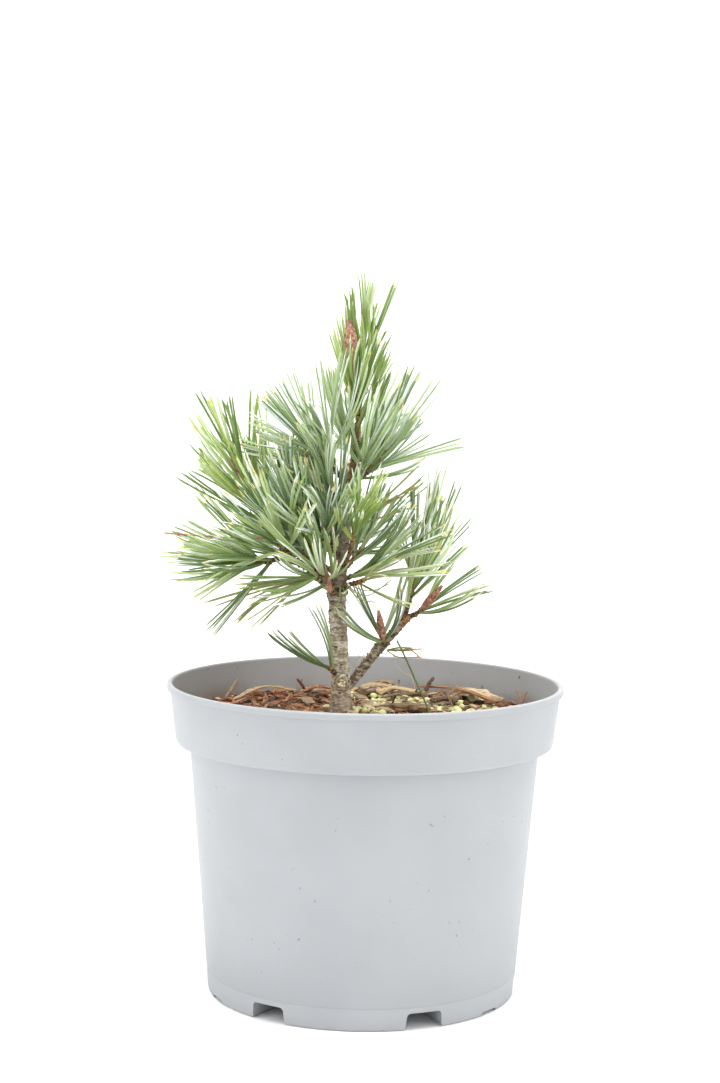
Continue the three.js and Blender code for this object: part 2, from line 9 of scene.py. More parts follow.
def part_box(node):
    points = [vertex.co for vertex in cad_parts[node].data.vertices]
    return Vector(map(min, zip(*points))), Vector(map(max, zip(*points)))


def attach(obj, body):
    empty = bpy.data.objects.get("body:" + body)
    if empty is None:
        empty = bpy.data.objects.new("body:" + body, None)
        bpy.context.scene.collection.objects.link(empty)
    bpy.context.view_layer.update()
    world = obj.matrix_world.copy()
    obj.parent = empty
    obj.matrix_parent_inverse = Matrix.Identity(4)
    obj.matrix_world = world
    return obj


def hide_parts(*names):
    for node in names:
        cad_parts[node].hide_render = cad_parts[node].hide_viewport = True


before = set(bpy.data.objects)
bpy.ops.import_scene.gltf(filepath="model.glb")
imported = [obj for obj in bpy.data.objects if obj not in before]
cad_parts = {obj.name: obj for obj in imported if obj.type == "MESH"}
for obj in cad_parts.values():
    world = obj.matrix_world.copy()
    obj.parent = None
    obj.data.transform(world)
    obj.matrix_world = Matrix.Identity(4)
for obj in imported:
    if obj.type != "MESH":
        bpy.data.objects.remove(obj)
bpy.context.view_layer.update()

# The pot is a round nursery pot of light grey polypropylene, injection moulded in one thin shell.
# It has a wide collar, a rolled rim, a faint line above its feet, and drain channels between the
# feet. It is turned from its outline here, and the channels are cut through the ring of feet.
MM = 0.001
POT_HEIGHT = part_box("pot")[1].z / MM
RIM_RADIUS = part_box("pot")[1].x / MM
LIP_INNER_RADIUS = 92.3
BEAD_HEIGHT = 3.2
BEAD_DEPTH = 1.5
COLLAR_FOOT_Z = 120.2
COLLAR_FOOT_RADIUS = 90.5
COLLAR_SLOPE = 0.6
BODY_TOP_RADIUS = 84
BASE_RADIUS = 73.9
WALL = 1.5
POT_FLOOR_Z = 10
POT_FLOOR_RADIUS = BASE_RADIUS - WALL + 0.9
RECESS_RADIUS = 40
RECESS_SLOPE = 2
RECESS_DEPTH = 3.5
# The faint line: its height, and how far out and up the wall is under it, in it and over it.
LINE_Z = 10.6
LINE_GROOVE = [(0.85, -0.4), (0.65, 0), (0.95, 0.4)]
POT_CORNERS = [
    # radius, height, fillet
    (0, RECESS_DEPTH, 0),
    (RECESS_RADIUS - RECESS_SLOPE, RECESS_DEPTH, 0),
    (RECESS_RADIUS, 0, 0),
    (BASE_RADIUS, 0, 1.2),
    *[(BASE_RADIUS + out, LINE_Z + rise, 0) for out, rise in LINE_GROOVE],
    (BODY_TOP_RADIUS, COLLAR_FOOT_Z, 0.6),
    (COLLAR_FOOT_RADIUS, COLLAR_FOOT_Z, 1.6),
    (RIM_RADIUS - BEAD_DEPTH, POT_HEIGHT - BEAD_HEIGHT, 0.3),
    (RIM_RADIUS, POT_HEIGHT - BEAD_HEIGHT, 0.6),
    (RIM_RADIUS, POT_HEIGHT, 1.2),
    (LIP_INNER_RADIUS, POT_HEIGHT, 1.0),
    (COLLAR_FOOT_RADIUS - WALL, COLLAR_FOOT_Z + WALL + COLLAR_SLOPE, 1.5),
    (BODY_TOP_RADIUS - WALL, COLLAR_FOOT_Z - COLLAR_SLOPE, 1.0),
    (POT_FLOOR_RADIUS, POT_FLOOR_Z, 0),
    (0, POT_FLOOR_Z, 0),
]
POT_SEGMENTS = 240
ARC_STEPS = 5
# A third of the foot ring's channels: from and to an angle, and how high they reach.
CHANNELS = [(22, 36, 8), (55, 65, 1.8), (84, 98, 8)]
FEET_TURN = -6
CHANNEL_ROUND = 2
CHANNEL_DRAFT = 0.4
FOOT_ROUND = 1.3
CUT_PAST = 4
CUT_BELOW = 1
INNER_FACING = -0.3
TIDE_Z = (132, 141)
# Across the inner wall, from and to an x in mm: where the painted shade on its left side fades out.
SHADED_LEFT_X = (-60, 30)


def rounded(corners):
    """An outline through corners (radius, height, fillet), with an arc at each fillet."""
    outline = []
    for i, (r, z, fillet) in enumerate(corners):
        corner = Vector((r, z))
        if not fillet:
            outline.append(corner)
            continue
        back = (Vector(corners[i - 1][:2]) - corner).normalized() * fillet
        onward = (Vector(corners[i + 1][:2]) - corner).normalized() * fillet
        for step in range(ARC_STEPS + 1):
            t = step / ARC_STEPS
            outline.append(corner + back * (1 - t) ** 2 + onward * t**2)
    return outline


def turned(outline, segments):
    """A closed body turned round the upright axis from an outline that starts and ends on it."""
    body = bmesh.new()
    rings = []
    for r, z in outline:
        turns = [2 * math.pi * k / segments for k in range(segments if r else 1)]
        places = [(r * math.sin(a) * MM, -r * math.cos(a) * MM, z * MM) for a in turns]
        rings.append([body.verts.new(place) for place in places])
    for ring, after in zip(rings, rings[1:]):
        for k in range(segments):
            corners = [part[n % len(part)] for part, n in
                       ((ring, k), (ring, k + 1), (after, k + 1), (after, k))]
            body.faces.new(dict.fromkeys(corners))
    bmesh.ops.recalc_face_normals(body, faces=body.faces)
    return body


def mesh_of(body, name):
    mesh = bpy.data.meshes.new(name)
    body.to_mesh(mesh)
    body.free()
    return mesh


def placed(name, data, *materials):
    """A new object in the scene for a mesh, a lamp or a lens, with its materials."""
    piece = bpy.data.objects.new(name, data)
    bpy.context.scene.collection.objects.link(piece)
    for material in materials:
        data.materials.append(material)
    return piece


def settled(piece):
    """The piece with its modifiers worked out into its own mesh and taken off."""
    depsgraph = bpy.context.evaluated_depsgraph_get()
    finished = bpy.data.meshes.new_from_object(piece.evaluated_get(depsgraph))
    piece.modifiers.clear()
    piece.data = finished
    return piece


def softened(piece, angle=35):
    """Smooth shading, with the edges that turn by more than an angle kept sharp."""
    piece.data.shade_smooth()
    piece.data.set_sharp_from_angle(angle=math.radians(angle))
    return piece


def arithmetic(operation, reflected=False):
    def work(self, *others):
        terms = (*others, self) if reflected else (self, *others)
        return self.tree.node("ShaderNodeMath", {"operation": operation}, dict(enumerate(terms)))
    return work


class Wire:
    """The output of a node. Arithmetic on it adds the Math nodes that work it out."""

    __add__ = arithmetic("ADD")
    __radd__ = arithmetic("ADD", reflected=True)
    __sub__ = arithmetic("SUBTRACT")
    __rsub__ = arithmetic("SUBTRACT", reflected=True)
    __mul__ = arithmetic("MULTIPLY")
    __truediv__ = arithmetic("DIVIDE")
    __pow__ = arithmetic("POWER")
    __gt__ = arithmetic("GREATER_THAN")
    __lt__ = arithmetic("LESS_THAN")
    least = arithmetic("MINIMUM")
    most = arithmetic("MAXIMUM")
    sine = arithmetic("SINE")
    cosine = arithmetic("COSINE")

    def __init__(self, tree, socket):
        self.tree = tree
        self.socket = socket

    def other(self, name):
        """Another output of the same node."""
        return Wire(self.tree, self.socket.node.outputs[name])

    def between(self, low, high):
        """0 under low, 1 over high, and a smooth rise between them."""
        settings = {"interpolation_type": "SMOOTHSTEP"}
        sockets = {"Value": self, "From Min": low, "From Max": high}
        return self.tree.node("ShaderNodeMapRange", settings, sockets)


class Tree:
    """A node tree, with one method that adds any node to it."""

    def __init__(self, tree):
        self.tree = tree

    def node(self, kind, settings=None, sockets=None, out=0):
        made = self.tree.nodes.new(kind)
        for name, value in (settings or {}).items():
            setattr(made, name, value)
        for name, value in (sockets or {}).items():
            self.feed(made.inputs[name], value)
        return Wire(self, made.outputs[out])

    def feed(self, socket, value):
        """Links a wire, or a list of them, to a socket, or sets the socket to a plain value."""
        for part in value if isinstance(value, list) else [value]:
            if isinstance(part, Wire):
                self.tree.links.new(part.socket, socket)
            else:
                socket.default_value = part

    def parts(self, vector):
        """The X of a vector, with its Y and Z as the other outputs."""
        return self.node("ShaderNodeSeparateXYZ", sockets={0: vector})


def paint(colour):
    """A colour as it shows on a screen, 0 to 255, as the shader's own numbers."""
    if isinstance(colour, Wire):
        return colour
    shares = [v / 255 for v in colour]
    return (*[s / 12.92 if s < 0.04 else ((s + 0.055) / 1.055) ** 2.4 for s in shares], 1)


class Finish(Tree):
    """A material: its principled shader, its coats of colour and the patterns that lay them."""

    def __init__(self, name, colour, roughness, **constants):
        self.material = bpy.data.materials.new(name)
        self.material.use_nodes = True
        super().__init__(self.material.node_tree)
        self.shader = self.tree.nodes["Principled BSDF"]
        self.place = self.node("ShaderNodeTexCoord", out="Object")
        self.colour = colour
        self.surface(Roughness=roughness, **constants)

    def stretched(self, x, y, z):
        return self.node("ShaderNodeMapping", sockets={"Vector": self.place, "Scale": (x, y, z)})

    def noise(self, per_metre, detail=2, place=None):
        sockets = {"Vector": place or self.place, "Scale": per_metre, "Detail": detail}
        return self.node("ShaderNodeTexNoise", sockets=sockets)

    def attribute(self, name, out="Fac"):
        return self.node("ShaderNodeAttribute", {"attribute_name": name}, out=out)

    def blend(self, share, colour, other):
        """One colour going over into another by a share from 0 to 1."""
        sockets = {0: share, 6: paint(colour), 7: paint(other)}
        return self.node("ShaderNodeMix", {"data_type": "RGBA"}, sockets, out=2)

    def coat(self, share, colour):
        """Lays a colour over the ones before it, by a share from 0 to 1."""
        self.colour = self.blend(share, self.colour, colour)
        self.surface(Base_Color=self.colour)

    def surface(self, **values):
        for name, value in values.items():
            self.feed(self.shader.inputs[name.replace("_", " ")], value)

    def bump(self, height, millimetres, strength=1.0):
        sockets = {"Height": height, "Strength": strength, "Distance": millimetres * MM}
        self.surface(Normal=self.node("ShaderNodeBump", sockets=sockets))


def quarter(radius):
    """The steps of a quarter turn, each as what is left of the radius one way and the other."""
    angles = [math.pi / 2 * step / ARC_STEPS for step in range(ARC_STEPS + 1)]
    return [(radius * (1 - math.sin(a)), radius * (1 - math.cos(a))) for a in angles]


def channel_cutter(body, start, end, height):
    """Adds the space of one drain channel, with round upper corners and rounded feet beside it."""
    half = BASE_RADIUS * math.radians(end - start) / 2
    turn, foot = [min(radius, height / 2) for radius in (CHANNEL_ROUND, FOOT_ROUND)]
    side = [(half + foot, -CUT_BELOW)]
    side += [(half + out, up) for out, up in quarter(foot)]
    side += [(half - CHANNEL_DRAFT - aside, height - down) for down, aside in quarter(turn)]
    outline = side + [(-x, z) for x, z in reversed(side)]
    spin = Matrix.Rotation(math.radians((start + end) / 2), 3, "Z")
    ends = [[body.verts.new(spin @ Vector((x, -reach, z)) * MM) for x, z in outline]
            for reach in (RECESS_RADIUS - CUT_PAST, BASE_RADIUS + CUT_PAST)]
    body.faces.new(ends[0])
    body.faces.new(reversed(ends[1]))
    for k in range(len(outline)):
        after = (k + 1) % len(outline)
        body.faces.new((ends[0][after], ends[0][k], ends[1][k], ends[1][after]))


plastic = Finish("grey_polypropylene", (159, 162, 165), 0.5, IOR=1.49)
rubbed = plastic.noise(9, 4, plastic.stretched(1, 1, 0.25))
speck = plastic.noise(520, 0).between(0.80, 0.82) * plastic.noise(60, 1).between(0.52, 0.62)
grit = plastic.noise(1500, 0).between(0.79, 0.81) * plastic.noise(35, 2).between(0.5, 0.7)
plastic.coat(plastic.noise(22, 3).between(0.3, 0.7), (164, 167, 170))
plastic.coat(rubbed.between(0.52, 0.75) * 0.5, (169, 171, 172))
plastic.coat(speck * 0.6, (110, 108, 104))
plastic.coat(grit * 0.35, (150, 140, 128))
plastic.surface(Roughness=rubbed * 0.2 + 0.42)
plastic.bump(plastic.noise(260, 2) * 0.5 + plastic.noise(14, 1), 0.25, 0.5)

# The inner wall: the same plastic with a dusty film, a brown tide line of soil just above the soil,
# dark flecks of dirt, and painted shade that darkens its left side.
dusty_and_shaded = Finish("dusty_inner_wall", (161, 163, 167), 0.62, IOR=1.49)
film = dusty_and_shaded.noise(28, 4).between(0.25, 0.75)
leftward = dusty_and_shaded.parts(dusty_and_shaded.place)
# Painted shade: 1 on the left of the inner wall, fading to 0 towards the right.
painted_left_shade = 1 - leftward.between(*[x * MM for x in SHADED_LEFT_X])
tide = 1 - leftward.other("Z").between(*[z * MM for z in TIDE_Z])
fleck = dusty_and_shaded.noise(420, 1).between(0.72, 0.76) * dusty_and_shaded.noise(50, 1).between(0.48, 0.6)
dusty_and_shaded.coat(film * 0.6, (148, 146, 147))
dusty_and_shaded.coat(painted_left_shade * 0.6, (134, 133, 132))
dusty_and_shaded.coat(tide * film * 0.7, (128, 112, 98))
dusty_and_shaded.coat(fleck * 0.8, (84, 66, 52))
dusty_and_shaded.bump(dusty_and_shaded.noise(300, 2), 0.15, 0.5)

pot = placed("nursery_pot", mesh_of(turned(rounded(POT_CORNERS), POT_SEGMENTS), "nursery_pot"),
             plastic.material, dusty_and_shaded.material)
cutters = bmesh.new()
for turn in (FEET_TURN, FEET_TURN + 120, FEET_TURN + 240):
    for start, end, height in CHANNELS:
        channel_cutter(cutters, turn + start, turn + end, height)
bmesh.ops.recalc_face_normals(cutters, faces=cutters.faces)
cutter = placed("channel_cutter", mesh_of(cutters, "channel_cutter"))
cut = pot.modifiers.new("channels", "BOOLEAN")
cut.object = cutter
cut.operation = "DIFFERENCE"
cut.solver = "EXACT"
settled(pot)
bpy.data.objects.remove(cutter)
for face in pot.data.polygons:
    outward = Vector((face.center.x, face.center.y, 0)).normalized()
    inside = face.normal.dot(outward) < INNER_FACING and face.center.z > COLLAR_FOOT_Z * MM
    face.material_index = 1 if inside else 0
softened(pot)
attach(pot, "root")
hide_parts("pot")

# The soil is peat and bark potting mix. It fills the pot to under the middle of the collar, with a
# low mound round the trunk, and is one turned body whose top is raised and lowered by its rule.
SOIL_Z = 130.5
SOIL_GAP = 0.3
SOIL_SUNK = 0.6
SOIL_RINGS = 56
SOIL_SEGMENTS = 200
WALL_FLARE = 1
TRUNK_FOOT = (-11.3, 0)
MOUND_HEIGHT = 2.7
MOUND_RADIUS = 60
MOUND_SLOPE = 52
BUMP_HEIGHT = 0.45
BUMPS_FROM_TRUNK = (9, 20)
CRUMB_HEIGHT = 0.9
CRUMBS_PER_MM = 0.28
TOP_SLACK = 0.1
# Where the mulch is heaped up: place, radius and height.
SOIL_HEAPS = [(-40, 47, 20, 2.6), (-27, 44, 13, 2.6), (8, 62, 15, 2.4), (60, 38, 12, 1)]


def smoothstep(value, low, high):
    t = min(max((value - low) / (high - low), 0), 1)
    return t * t * (3 - 2 * t)


def soil_height(x, y):
    """The height of the soil's surface, by the rule of the source."""
    away = math.hypot(x - TRUNK_FOOT[0], y - TRUNK_FOOT[1])
    mound = MOUND_HEIGHT * smoothstep(MOUND_RADIUS - away, 0, MOUND_SLOPE)
    bumps = math.sin(0.13 * x + 1) * math.cos(0.11 * y) + 0.6 * math.sin(0.31 * x + 0.27 * y)
    return SOIL_Z + mound + BUMP_HEIGHT * bumps * smoothstep(away, *BUMPS_FROM_TRUNK)


def heaped(x, y):
    return sum(high * math.exp(-((x - heap_x) ** 2 + (y - heap_y) ** 2) / radius**2)
               for heap_x, heap_y, radius, high in SOIL_HEAPS)


soil_edge = COLLAR_FOOT_RADIUS - WALL - SOIL_GAP
soil_outline = [
    (0, POT_FLOOR_Z + SOIL_GAP),
    (POT_FLOOR_RADIUS - SOIL_GAP, POT_FLOOR_Z + SOIL_GAP),
    (BODY_TOP_RADIUS - WALL - SOIL_GAP, COLLAR_FOOT_Z - COLLAR_SLOPE),
    (soil_edge, COLLAR_FOOT_Z + WALL + COLLAR_SLOPE + SOIL_GAP),
]
soil_outline += [((soil_edge + WALL_FLARE) * (1 - i / SOIL_RINGS), SOIL_Z)
                 for i in range(SOIL_RINGS + 1)]
soil_body = turned(soil_outline, SOIL_SEGMENTS)
for vertex in soil_body.verts:
    x, y, z = vertex.co / MM
    if z > SOIL_Z - TOP_SLACK:
        crumbs = noise.fractal(Vector((x, y, 0)) * CRUMBS_PER_MM, 1, 2, 4)
        top = soil_height(x, y) + heaped(x, y) - SOIL_SUNK + CRUMB_HEIGHT * crumbs
        vertex.co.z = top * MM

earth = Finish("potting_soil", (38, 27, 20), 0.95)
earth.coat(earth.noise(240, 4).between(0.35, 0.65), (92, 62, 42))
earth.coat(earth.noise(700, 2).between(0.62, 0.7), (140, 98, 66))
earth.bump(earth.noise(600, 3), 1.2)

soil = softened(placed("soil_fill", mesh_of(soil_body, "soil_fill"), earth.material), 60)
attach(soil, "root")
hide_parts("soil")

# The mulch lies loose on the soil: reddish shredded bark, thickest at the left, tan wood chips,
# dark bits of bark and yellow-green feed beads. One tree strews each kind and shapes its pieces.
MULCH_REACH = 88.6
MULCH_PAST = 0.6
MULCH_EDGE = 3
TOP_FACING = 0.6
TOP_FROM_Z = 125
# The shreds thin out to the right of a wavy line: its place, wave, wave's length and fading.
SHREDS_FROM_X = -4
SHREDS_WAVE = 8
SHREDS_WAVE_LENGTH = 14
SHREDS_FADE = 26
HEAP_EDGE = 1.5
PATCHES_PER_MM = 0.075
MULCH_KINDS = {
    # name: region, per square metre, size in mm, spread of size, taper, crook, tilt, lift, round
    "bark_shreds": ("shred", 190000, (9, 1.3, 0.7), 0.55, 0.75, 3.2, 0.32, 1.8, False),
    "wood_chips": ("chip", 16000, (10, 4.2, 1.4), 0.5, 0.45, 2.2, 0.22, 1.8, False),
    "bark_bits": ("bit", 42000, (3.6, 2.6, 1.6), 0.5, 0.3, 1.6, 0.5, 1.2, False),
    "feed_beads": ("bead", 95000, (3.6, 3.6, 3.3), 0.18, 0, 0.2, 0.5, 1.8, True),
}
MULCH_LOOKS = {
    # kind: dark, light and streak, then the grain's fineness and the roughness if not the usual
    "bark_shreds": ((76, 42, 28), (222, 162, 120), (100, 60, 40)),
    "wood_chips": ((96, 72, 50), (210, 184, 144), (132, 112, 86)),
    "bark_bits": ((26, 22, 18), (112, 86, 64), (60, 60, 50)),
    "feed_beads": ((196, 196, 124), (232, 230, 176), (206, 198, 138), 300, 0.45),
}
# Heaps of beads: place and radius.
BEAD_HEAPS = [
    (-3, 52, 8), (11, 46, 10), (25, 50, 9), (36, 29, 8), (47, 40, 5), (50, 16, 7), (63, 80, 6),
    (65, 27, 6), (-2, 6, 7), (-19, 10, 3), (20, 28, 8), (46, 20, 8), (56, 58, 5), (12, 22, 6),
    (30, -30, 12), (55, -25, 9), (5, -48, 8), (35, -62, 6),
]


class Growth(Tree):
    """A geometry tree with named inputs. What is given to them comes in as wires."""

    def __init__(self, name, inputs):
        group = bpy.data.node_groups.new(name, "GeometryNodeTree")
        for label, kind in {"Geometry": "Geometry", **inputs}.items():
            group.interface.new_socket(label, in_out="INPUT", socket_type="NodeSocket" + kind)
        group.interface.new_socket("Geometry", in_out="OUTPUT", socket_type="NodeSocketGeometry")
        super().__init__(group)
        entry = group.nodes.new("NodeGroupInput")
        self.given = {socket.name: Wire(self, socket) for socket in entry.outputs if socket.name}

    def shape(self, kind, first=None, settings=None, **sockets):
        """A geometry node, with what goes into its first socket and into others by name."""
        sockets = {name.replace("_", " "): value for name, value in sockets.items()}
        if first is not None:
            sockets[0] = first
        return self.node("GeometryNode" + kind, settings, sockets)

    def read(self, name, kind="FLOAT"):
        return self.shape("InputNamedAttribute", None, {"data_type": kind}, Name=name)

    def store(self, geometry, name, value, kind="FLOAT", domain="POINT"):
        settings = {"data_type": kind, "domain": domain}
        return self.shape("StoreNamedAttribute", geometry, settings, Name=name, Value=value)

    def drawn(self, low, high, seed, who=None):
        """A random number between two numbers, for each point or for each of those named."""
        sockets = {2: low, 3: high, "Seed": seed}
        if who is not None:
            sockets["ID"] = who
        return self.node("FunctionNodeRandomValue", {"data_type": "FLOAT"}, sockets, out=1)

    def vector(self, x, y, z):
        return self.node("ShaderNodeCombineXYZ", sockets={0: x, 1: y, 2: z})

    def scaled(self, vector, amount):
        sockets = {0: vector, "Scale": amount}
        return self.node("ShaderNodeVectorMath", {"operation": "SCALE"}, sockets)

    def vectors(self, operation, first, second, out="Vector"):
        sockets = {0: first, 1: second}
        return self.node("ShaderNodeVectorMath", {"operation": operation}, sockets, out)

    def end(self, geometry):
        """Realizes what the tree made and hands it out."""
        leave = self.tree.nodes.new("NodeGroupOutput")
        self.feed(leave.inputs[0], self.shape("RealizeInstances", geometry))
        return self


def grown(piece, growth, **values):
    """Runs a geometry tree on a piece with values for its inputs, and keeps the plain mesh."""
    modifier = piece.modifiers.new(growth.tree.name, "NODES")
    modifier.node_group = growth.tree
    for item in growth.tree.interface.items_tree:
        label = item.name.replace(" ", "_").lower()
        if item.in_out == "INPUT" and label in values:
            modifier[item.identifier] = values[label]
    return settled(piece)


def make_mulch_tree():
    tree = Growth("strewn_pieces", {
        "Region": "String", "Density": "Float", "Size": "Vector", "Spread": "Float",
        "Taper": "Float", "Crook": "Float", "Tilt": "Float", "Lift": "Float", "Round": "Bool",
        "Reach": "Float", "Seed": "Int", "Finish": "Material",
    })
    given = tree.given
    points = tree.shape("DistributePointsOnFaces", given["Geometry"], Seed=given["Seed"],
                        Density=given["Density"] * tree.read(given["Region"]))
    tilts = [tree.drawn(0 - given["Tilt"], given["Tilt"], seed) for seed in (1, 2)]
    turn = tree.node("FunctionNodeEulerToRotation", sockets={
        0: tree.vector(*tilts, tree.drawn(0, 2 * math.pi, 3))})
    whole = tree.drawn(1 - given["Spread"], given["Spread"] + 1, 4)
    shares = [tree.drawn(low, high, seed)
              for low, high, seed in ((0.6, 1.5, 5), (0.7, 1.4, 6), (0.7, 1.3, 7))]
    size = tree.vectors("MULTIPLY", tree.scaled(given["Size"], whole), tree.vector(*shares))
    sliver = tree.shape("MeshCube", Size=(1, 1, 1), Vertices_X=6, Vertices_Y=3)
    along = tree.parts(tree.shape("InputPosition"))
    narrow = 1 - given["Taper"] * (along * along) * 4
    drawn_in = tree.vector(along, along.other("Y") * narrow, along.other("Z") * narrow)
    sliver = tree.shape("SetPosition", sliver, Position=drawn_in)
    ball = tree.shape("SetShadeSmooth", tree.shape("MeshIcoSphere", Radius=0.5, Subdivisions=3))
    piece = tree.node("GeometryNodeSwitch", sockets={
        "Switch": given["Round"], "False": sliver, "True": ball})
    laid = tree.shape("InstanceOnPoints", points, Instance=piece, Rotation=turn, Scale=size)
    laid = tree.store(laid, "shade", tree.drawn(0, 1, 8), domain="INSTANCE")
    lift = tree.vector(0, 0, tree.drawn(0, given["Lift"], 9))
    loose = tree.shape("RealizeInstances", tree.shape("SetPosition", laid, Offset=lift))
    wander = tree.node("ShaderNodeTexNoise", sockets={"Scale": 110.0, "Detail": 1.0}, out="Color")
    wander = tree.scaled(tree.vectors("SUBTRACT", wander, (0.5, 0.5, 0.5)), given["Crook"])
    loose = tree.shape("SetPosition", loose, Offset=wander)
    where = tree.parts(tree.shape("InputPosition"))
    away = (where * where + where.other("Y") * where.other("Y")) ** 0.5
    held = (given["Reach"] / away).least(1)
    kept = tree.vector(where * held, where.other("Y") * held, where.other("Z"))
    loose = tree.shape("SetPosition", loose, Position=kept)
    return tree.end(tree.shape("SetMaterial", loose, Material=given["Finish"]))


def mulch_finish(name, dark, light, streak, grain=420, roughness=0.9, laid=False):
    """Wood or bark whose pieces each have their own shade, with fibres along the grain."""
    wood = Finish(name, dark, roughness)
    if laid:
        fibre = wood.noise(1, 4, wood.attribute("grain", out="Vector"))
    else:
        fibre = wood.noise(grain, 3, wood.stretched(1, 1, 2.5))
    wood.coat((wood.attribute("shade") * 0.75 + fibre * 0.5 - 0.12).least(1).most(0), light)
    wood.coat(wood.noise(90, 2).between(0.52, 0.66) * 0.8, streak)
    wood.coat(wood.noise(260, 3).between(0.6, 0.68) * 0.7, dark)
    wood.bump(fibre, 0.5)
    return wood.material


def marked(mesh, label, values, kind="FLOAT"):
    """Notes a number, or a vector, for each point of a mesh."""
    notes = mesh.attributes.new(label, kind, "POINT").data
    notes.foreach_set("value" if kind == "FLOAT" else "vector",
                      np.asarray(values, np.float32).ravel())


strewn_on = bmesh.new()
strewn_on.from_mesh(soil.data)
low_faces = [face for face in strewn_on.faces
             if face.normal.z <= TOP_FACING or face.calc_center_median().z <= TOP_FROM_Z * MM]
bmesh.ops.delete(strewn_on, geom=low_faces, context="FACES")
strewn_mesh = mesh_of(strewn_on, "strewn_on")
spots = np.array([v.co for v in strewn_mesh.vertices]) / MM
across, back = spots[:, 0], spots[:, 1]
wavy = SHREDS_WAVE * np.sin(back / SHREDS_WAVE_LENGTH)
leftness = np.clip((SHREDS_FROM_X - across + wavy) / SHREDS_FADE, 0, 1)
patchy = np.array([noise.noise(Vector(p) * PATCHES_PER_MM) for p in spots])
inside = np.clip((MULCH_REACH - np.hypot(across, back)) / MULCH_EDGE, 0, 1)
regions = {
    "shred": inside * (0.2 + 0.8 * leftness),
    "chip": inside * (1 - 0.75 * leftness),
    "bit": inside * (0.5 + 0.5 * np.clip(patchy * 3, 0, 1)),
    "bead": inside * 0.04 * (1 - leftness),
}
for x, y, radius in BEAD_HEAPS:
    apart = np.hypot(across - x, back - y) / radius
    regions["bead"] = np.maximum(regions["bead"], inside * np.clip(HEAP_EDGE - apart, 0, 1))
for name, share in regions.items():
    marked(strewn_mesh, name, share)

mulch_tree = make_mulch_tree()
for seed, (name, kind) in enumerate(MULCH_KINDS.items()):
    region, density, size, spread, taper, crook, tilt, lift, is_round = kind
    strewn = grown(
        placed(name, strewn_mesh.copy()), mulch_tree, region=region, density=float(density),
        size=[s * MM for s in size], spread=spread, taper=float(taper), crook=crook * MM,
        tilt=tilt, lift=lift * MM, round=is_round, reach=(MULCH_REACH + MULCH_PAST) * MM,
        seed=seed, finish=mulch_finish(name, *MULCH_LOOKS[name]))
    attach(strewn, "root")
    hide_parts("soil")

# A few larger pieces lie on top: bark boards, long strips and splinters that stand up from the
# mulch. Each is a flat sliver bent along its own line, torn to a taper at both ends.
LARGER_PIECES = [
    # finish, width, thickness, then the places its line passes
    ("bark_shreds", 2.6, 1.0, (26, 69, 136.5), (46, 55, 137.5), (65, 22, 136.5)),
    ("wood_chips", 3, 0.9, (-65, 24, 135.2), (-50, 48, 138.2), (-33, 44, 137)),
    ("wood_chips", 1, 0.7, (-52, 6, 134), (-48, 14, 136.2), (-44, 22, 138)),
    ("bark_shreds", 4, 1, (-30, 40, 137.5), (-24, 44, 139.4), (-16, 46, 138)),
    ("wood_chips", 7.5, 2.2, (47, 67, 135.5), (57, 48, 137), (66, 28, 135.5)),
    ("wood_chips", 7, 3.4, (9, 13, 134.4), (20, 12, 134.8), (32, 12, 134.2)),
    ("wood_chips", 8, 1.6, (-2, 58, 136.6), (6, 60, 138.2), (13, 58, 137.4)),
    ("wood_chips", 6, 1.4, (6, 52, 135.8), (16, 55, 137.6), (25, 52, 136)),
    ("wood_chips", 5, 1.2, (2, 66, 137.6), (9, 66, 139.2), (15, 64, 138)),
    ("bark_bits", 5, 1.5, (33, 30, 134.8), (39, 33, 135.6), (46, 31, 134.8)),
    ("wood_chips", 2.4, 0.9, (7.5, 31, 136), (18, 39, 137), (28, 46, 136)),
    ("wood_chips", 5, 1.2, (-26, 15, 134.6), (-29, 25, 136), (-32, 33, 135)),
    ("bark_shreds", 3, 1.2, (-33, 50, 135.4), (-25, 53, 136), (-16, 55, 135.4)),
    ("bark_shreds", 5.5, 1.6, (66, 24, 133.8), (71, 28, 135), (76, 31, 133.6)),
    ("wood_chips", 1.3, 0.8, (39, 36, 134), (43, 40, 138), (46.5, 43, 141.3)),
    ("bark_bits", 2.2, 1, (31, 61, 135), (32.6, 62.5, 138.6), (35.2, 64, 142)),
    ("bark_shreds", 0.9, 0.7, (38.6, 55, 137.4), (41, 36, 137), (43.2, 18, 134.5)),
    ("wood_chips", 1.5, 0.8, (-70, 45, 132.5), (-67, 48, 137), (-64, 50, 141.5)),
    ("bark_shreds", 2.6, 1.2, (-29.5, 52, 135), (-32, 52, 139), (-34.5, 52, 142)),
    ("bark_shreds", 0.8, 0.6, (75.5, 40, 139), (77, 36, 137), (77.9, 30, 134.6)),
    ("bark_shreds", 0.8, 0.6, (80.5, 32, 140.5), (79.5, 32, 138), (78, 32, 134)),
    ("bark_bits", 0.9, 0.7, (13.3, 20, 134), (14.2, 23, 136.6), (15.3, 26, 138.6)),
    ("wood_chips", 4.5, 1.6, (-58, -35, 133), (-50, -42, 134.5), (-40, -46, 133)),
    ("bark_shreds", 3, 1.1, (-30, -60, 133), (-14, -66, 134.6), (4, -64, 133)),
    ("bark_bits", 4, 2, (48, -48, 133), (56, -44, 134.6), (64, -36, 133)),
]
LINE_STEPS = 200
STRIP_STEPS = 60
STRIP_SIDES = 24
SQUARENESS = 8
TORN = 0.3
RAGGED = 0.4
# How blunt a piece's ends are: a board's, which is wider than this, and a strip's.
BOARD_WIDTH = 4
BLUNT_BOARD = 30
BLUNT_STRIP = 8
END_THICKNESS = 0.12
END_CURVE = 0.7
FIBRE_LENGTH = 3
FIBRES_ROUND = 5


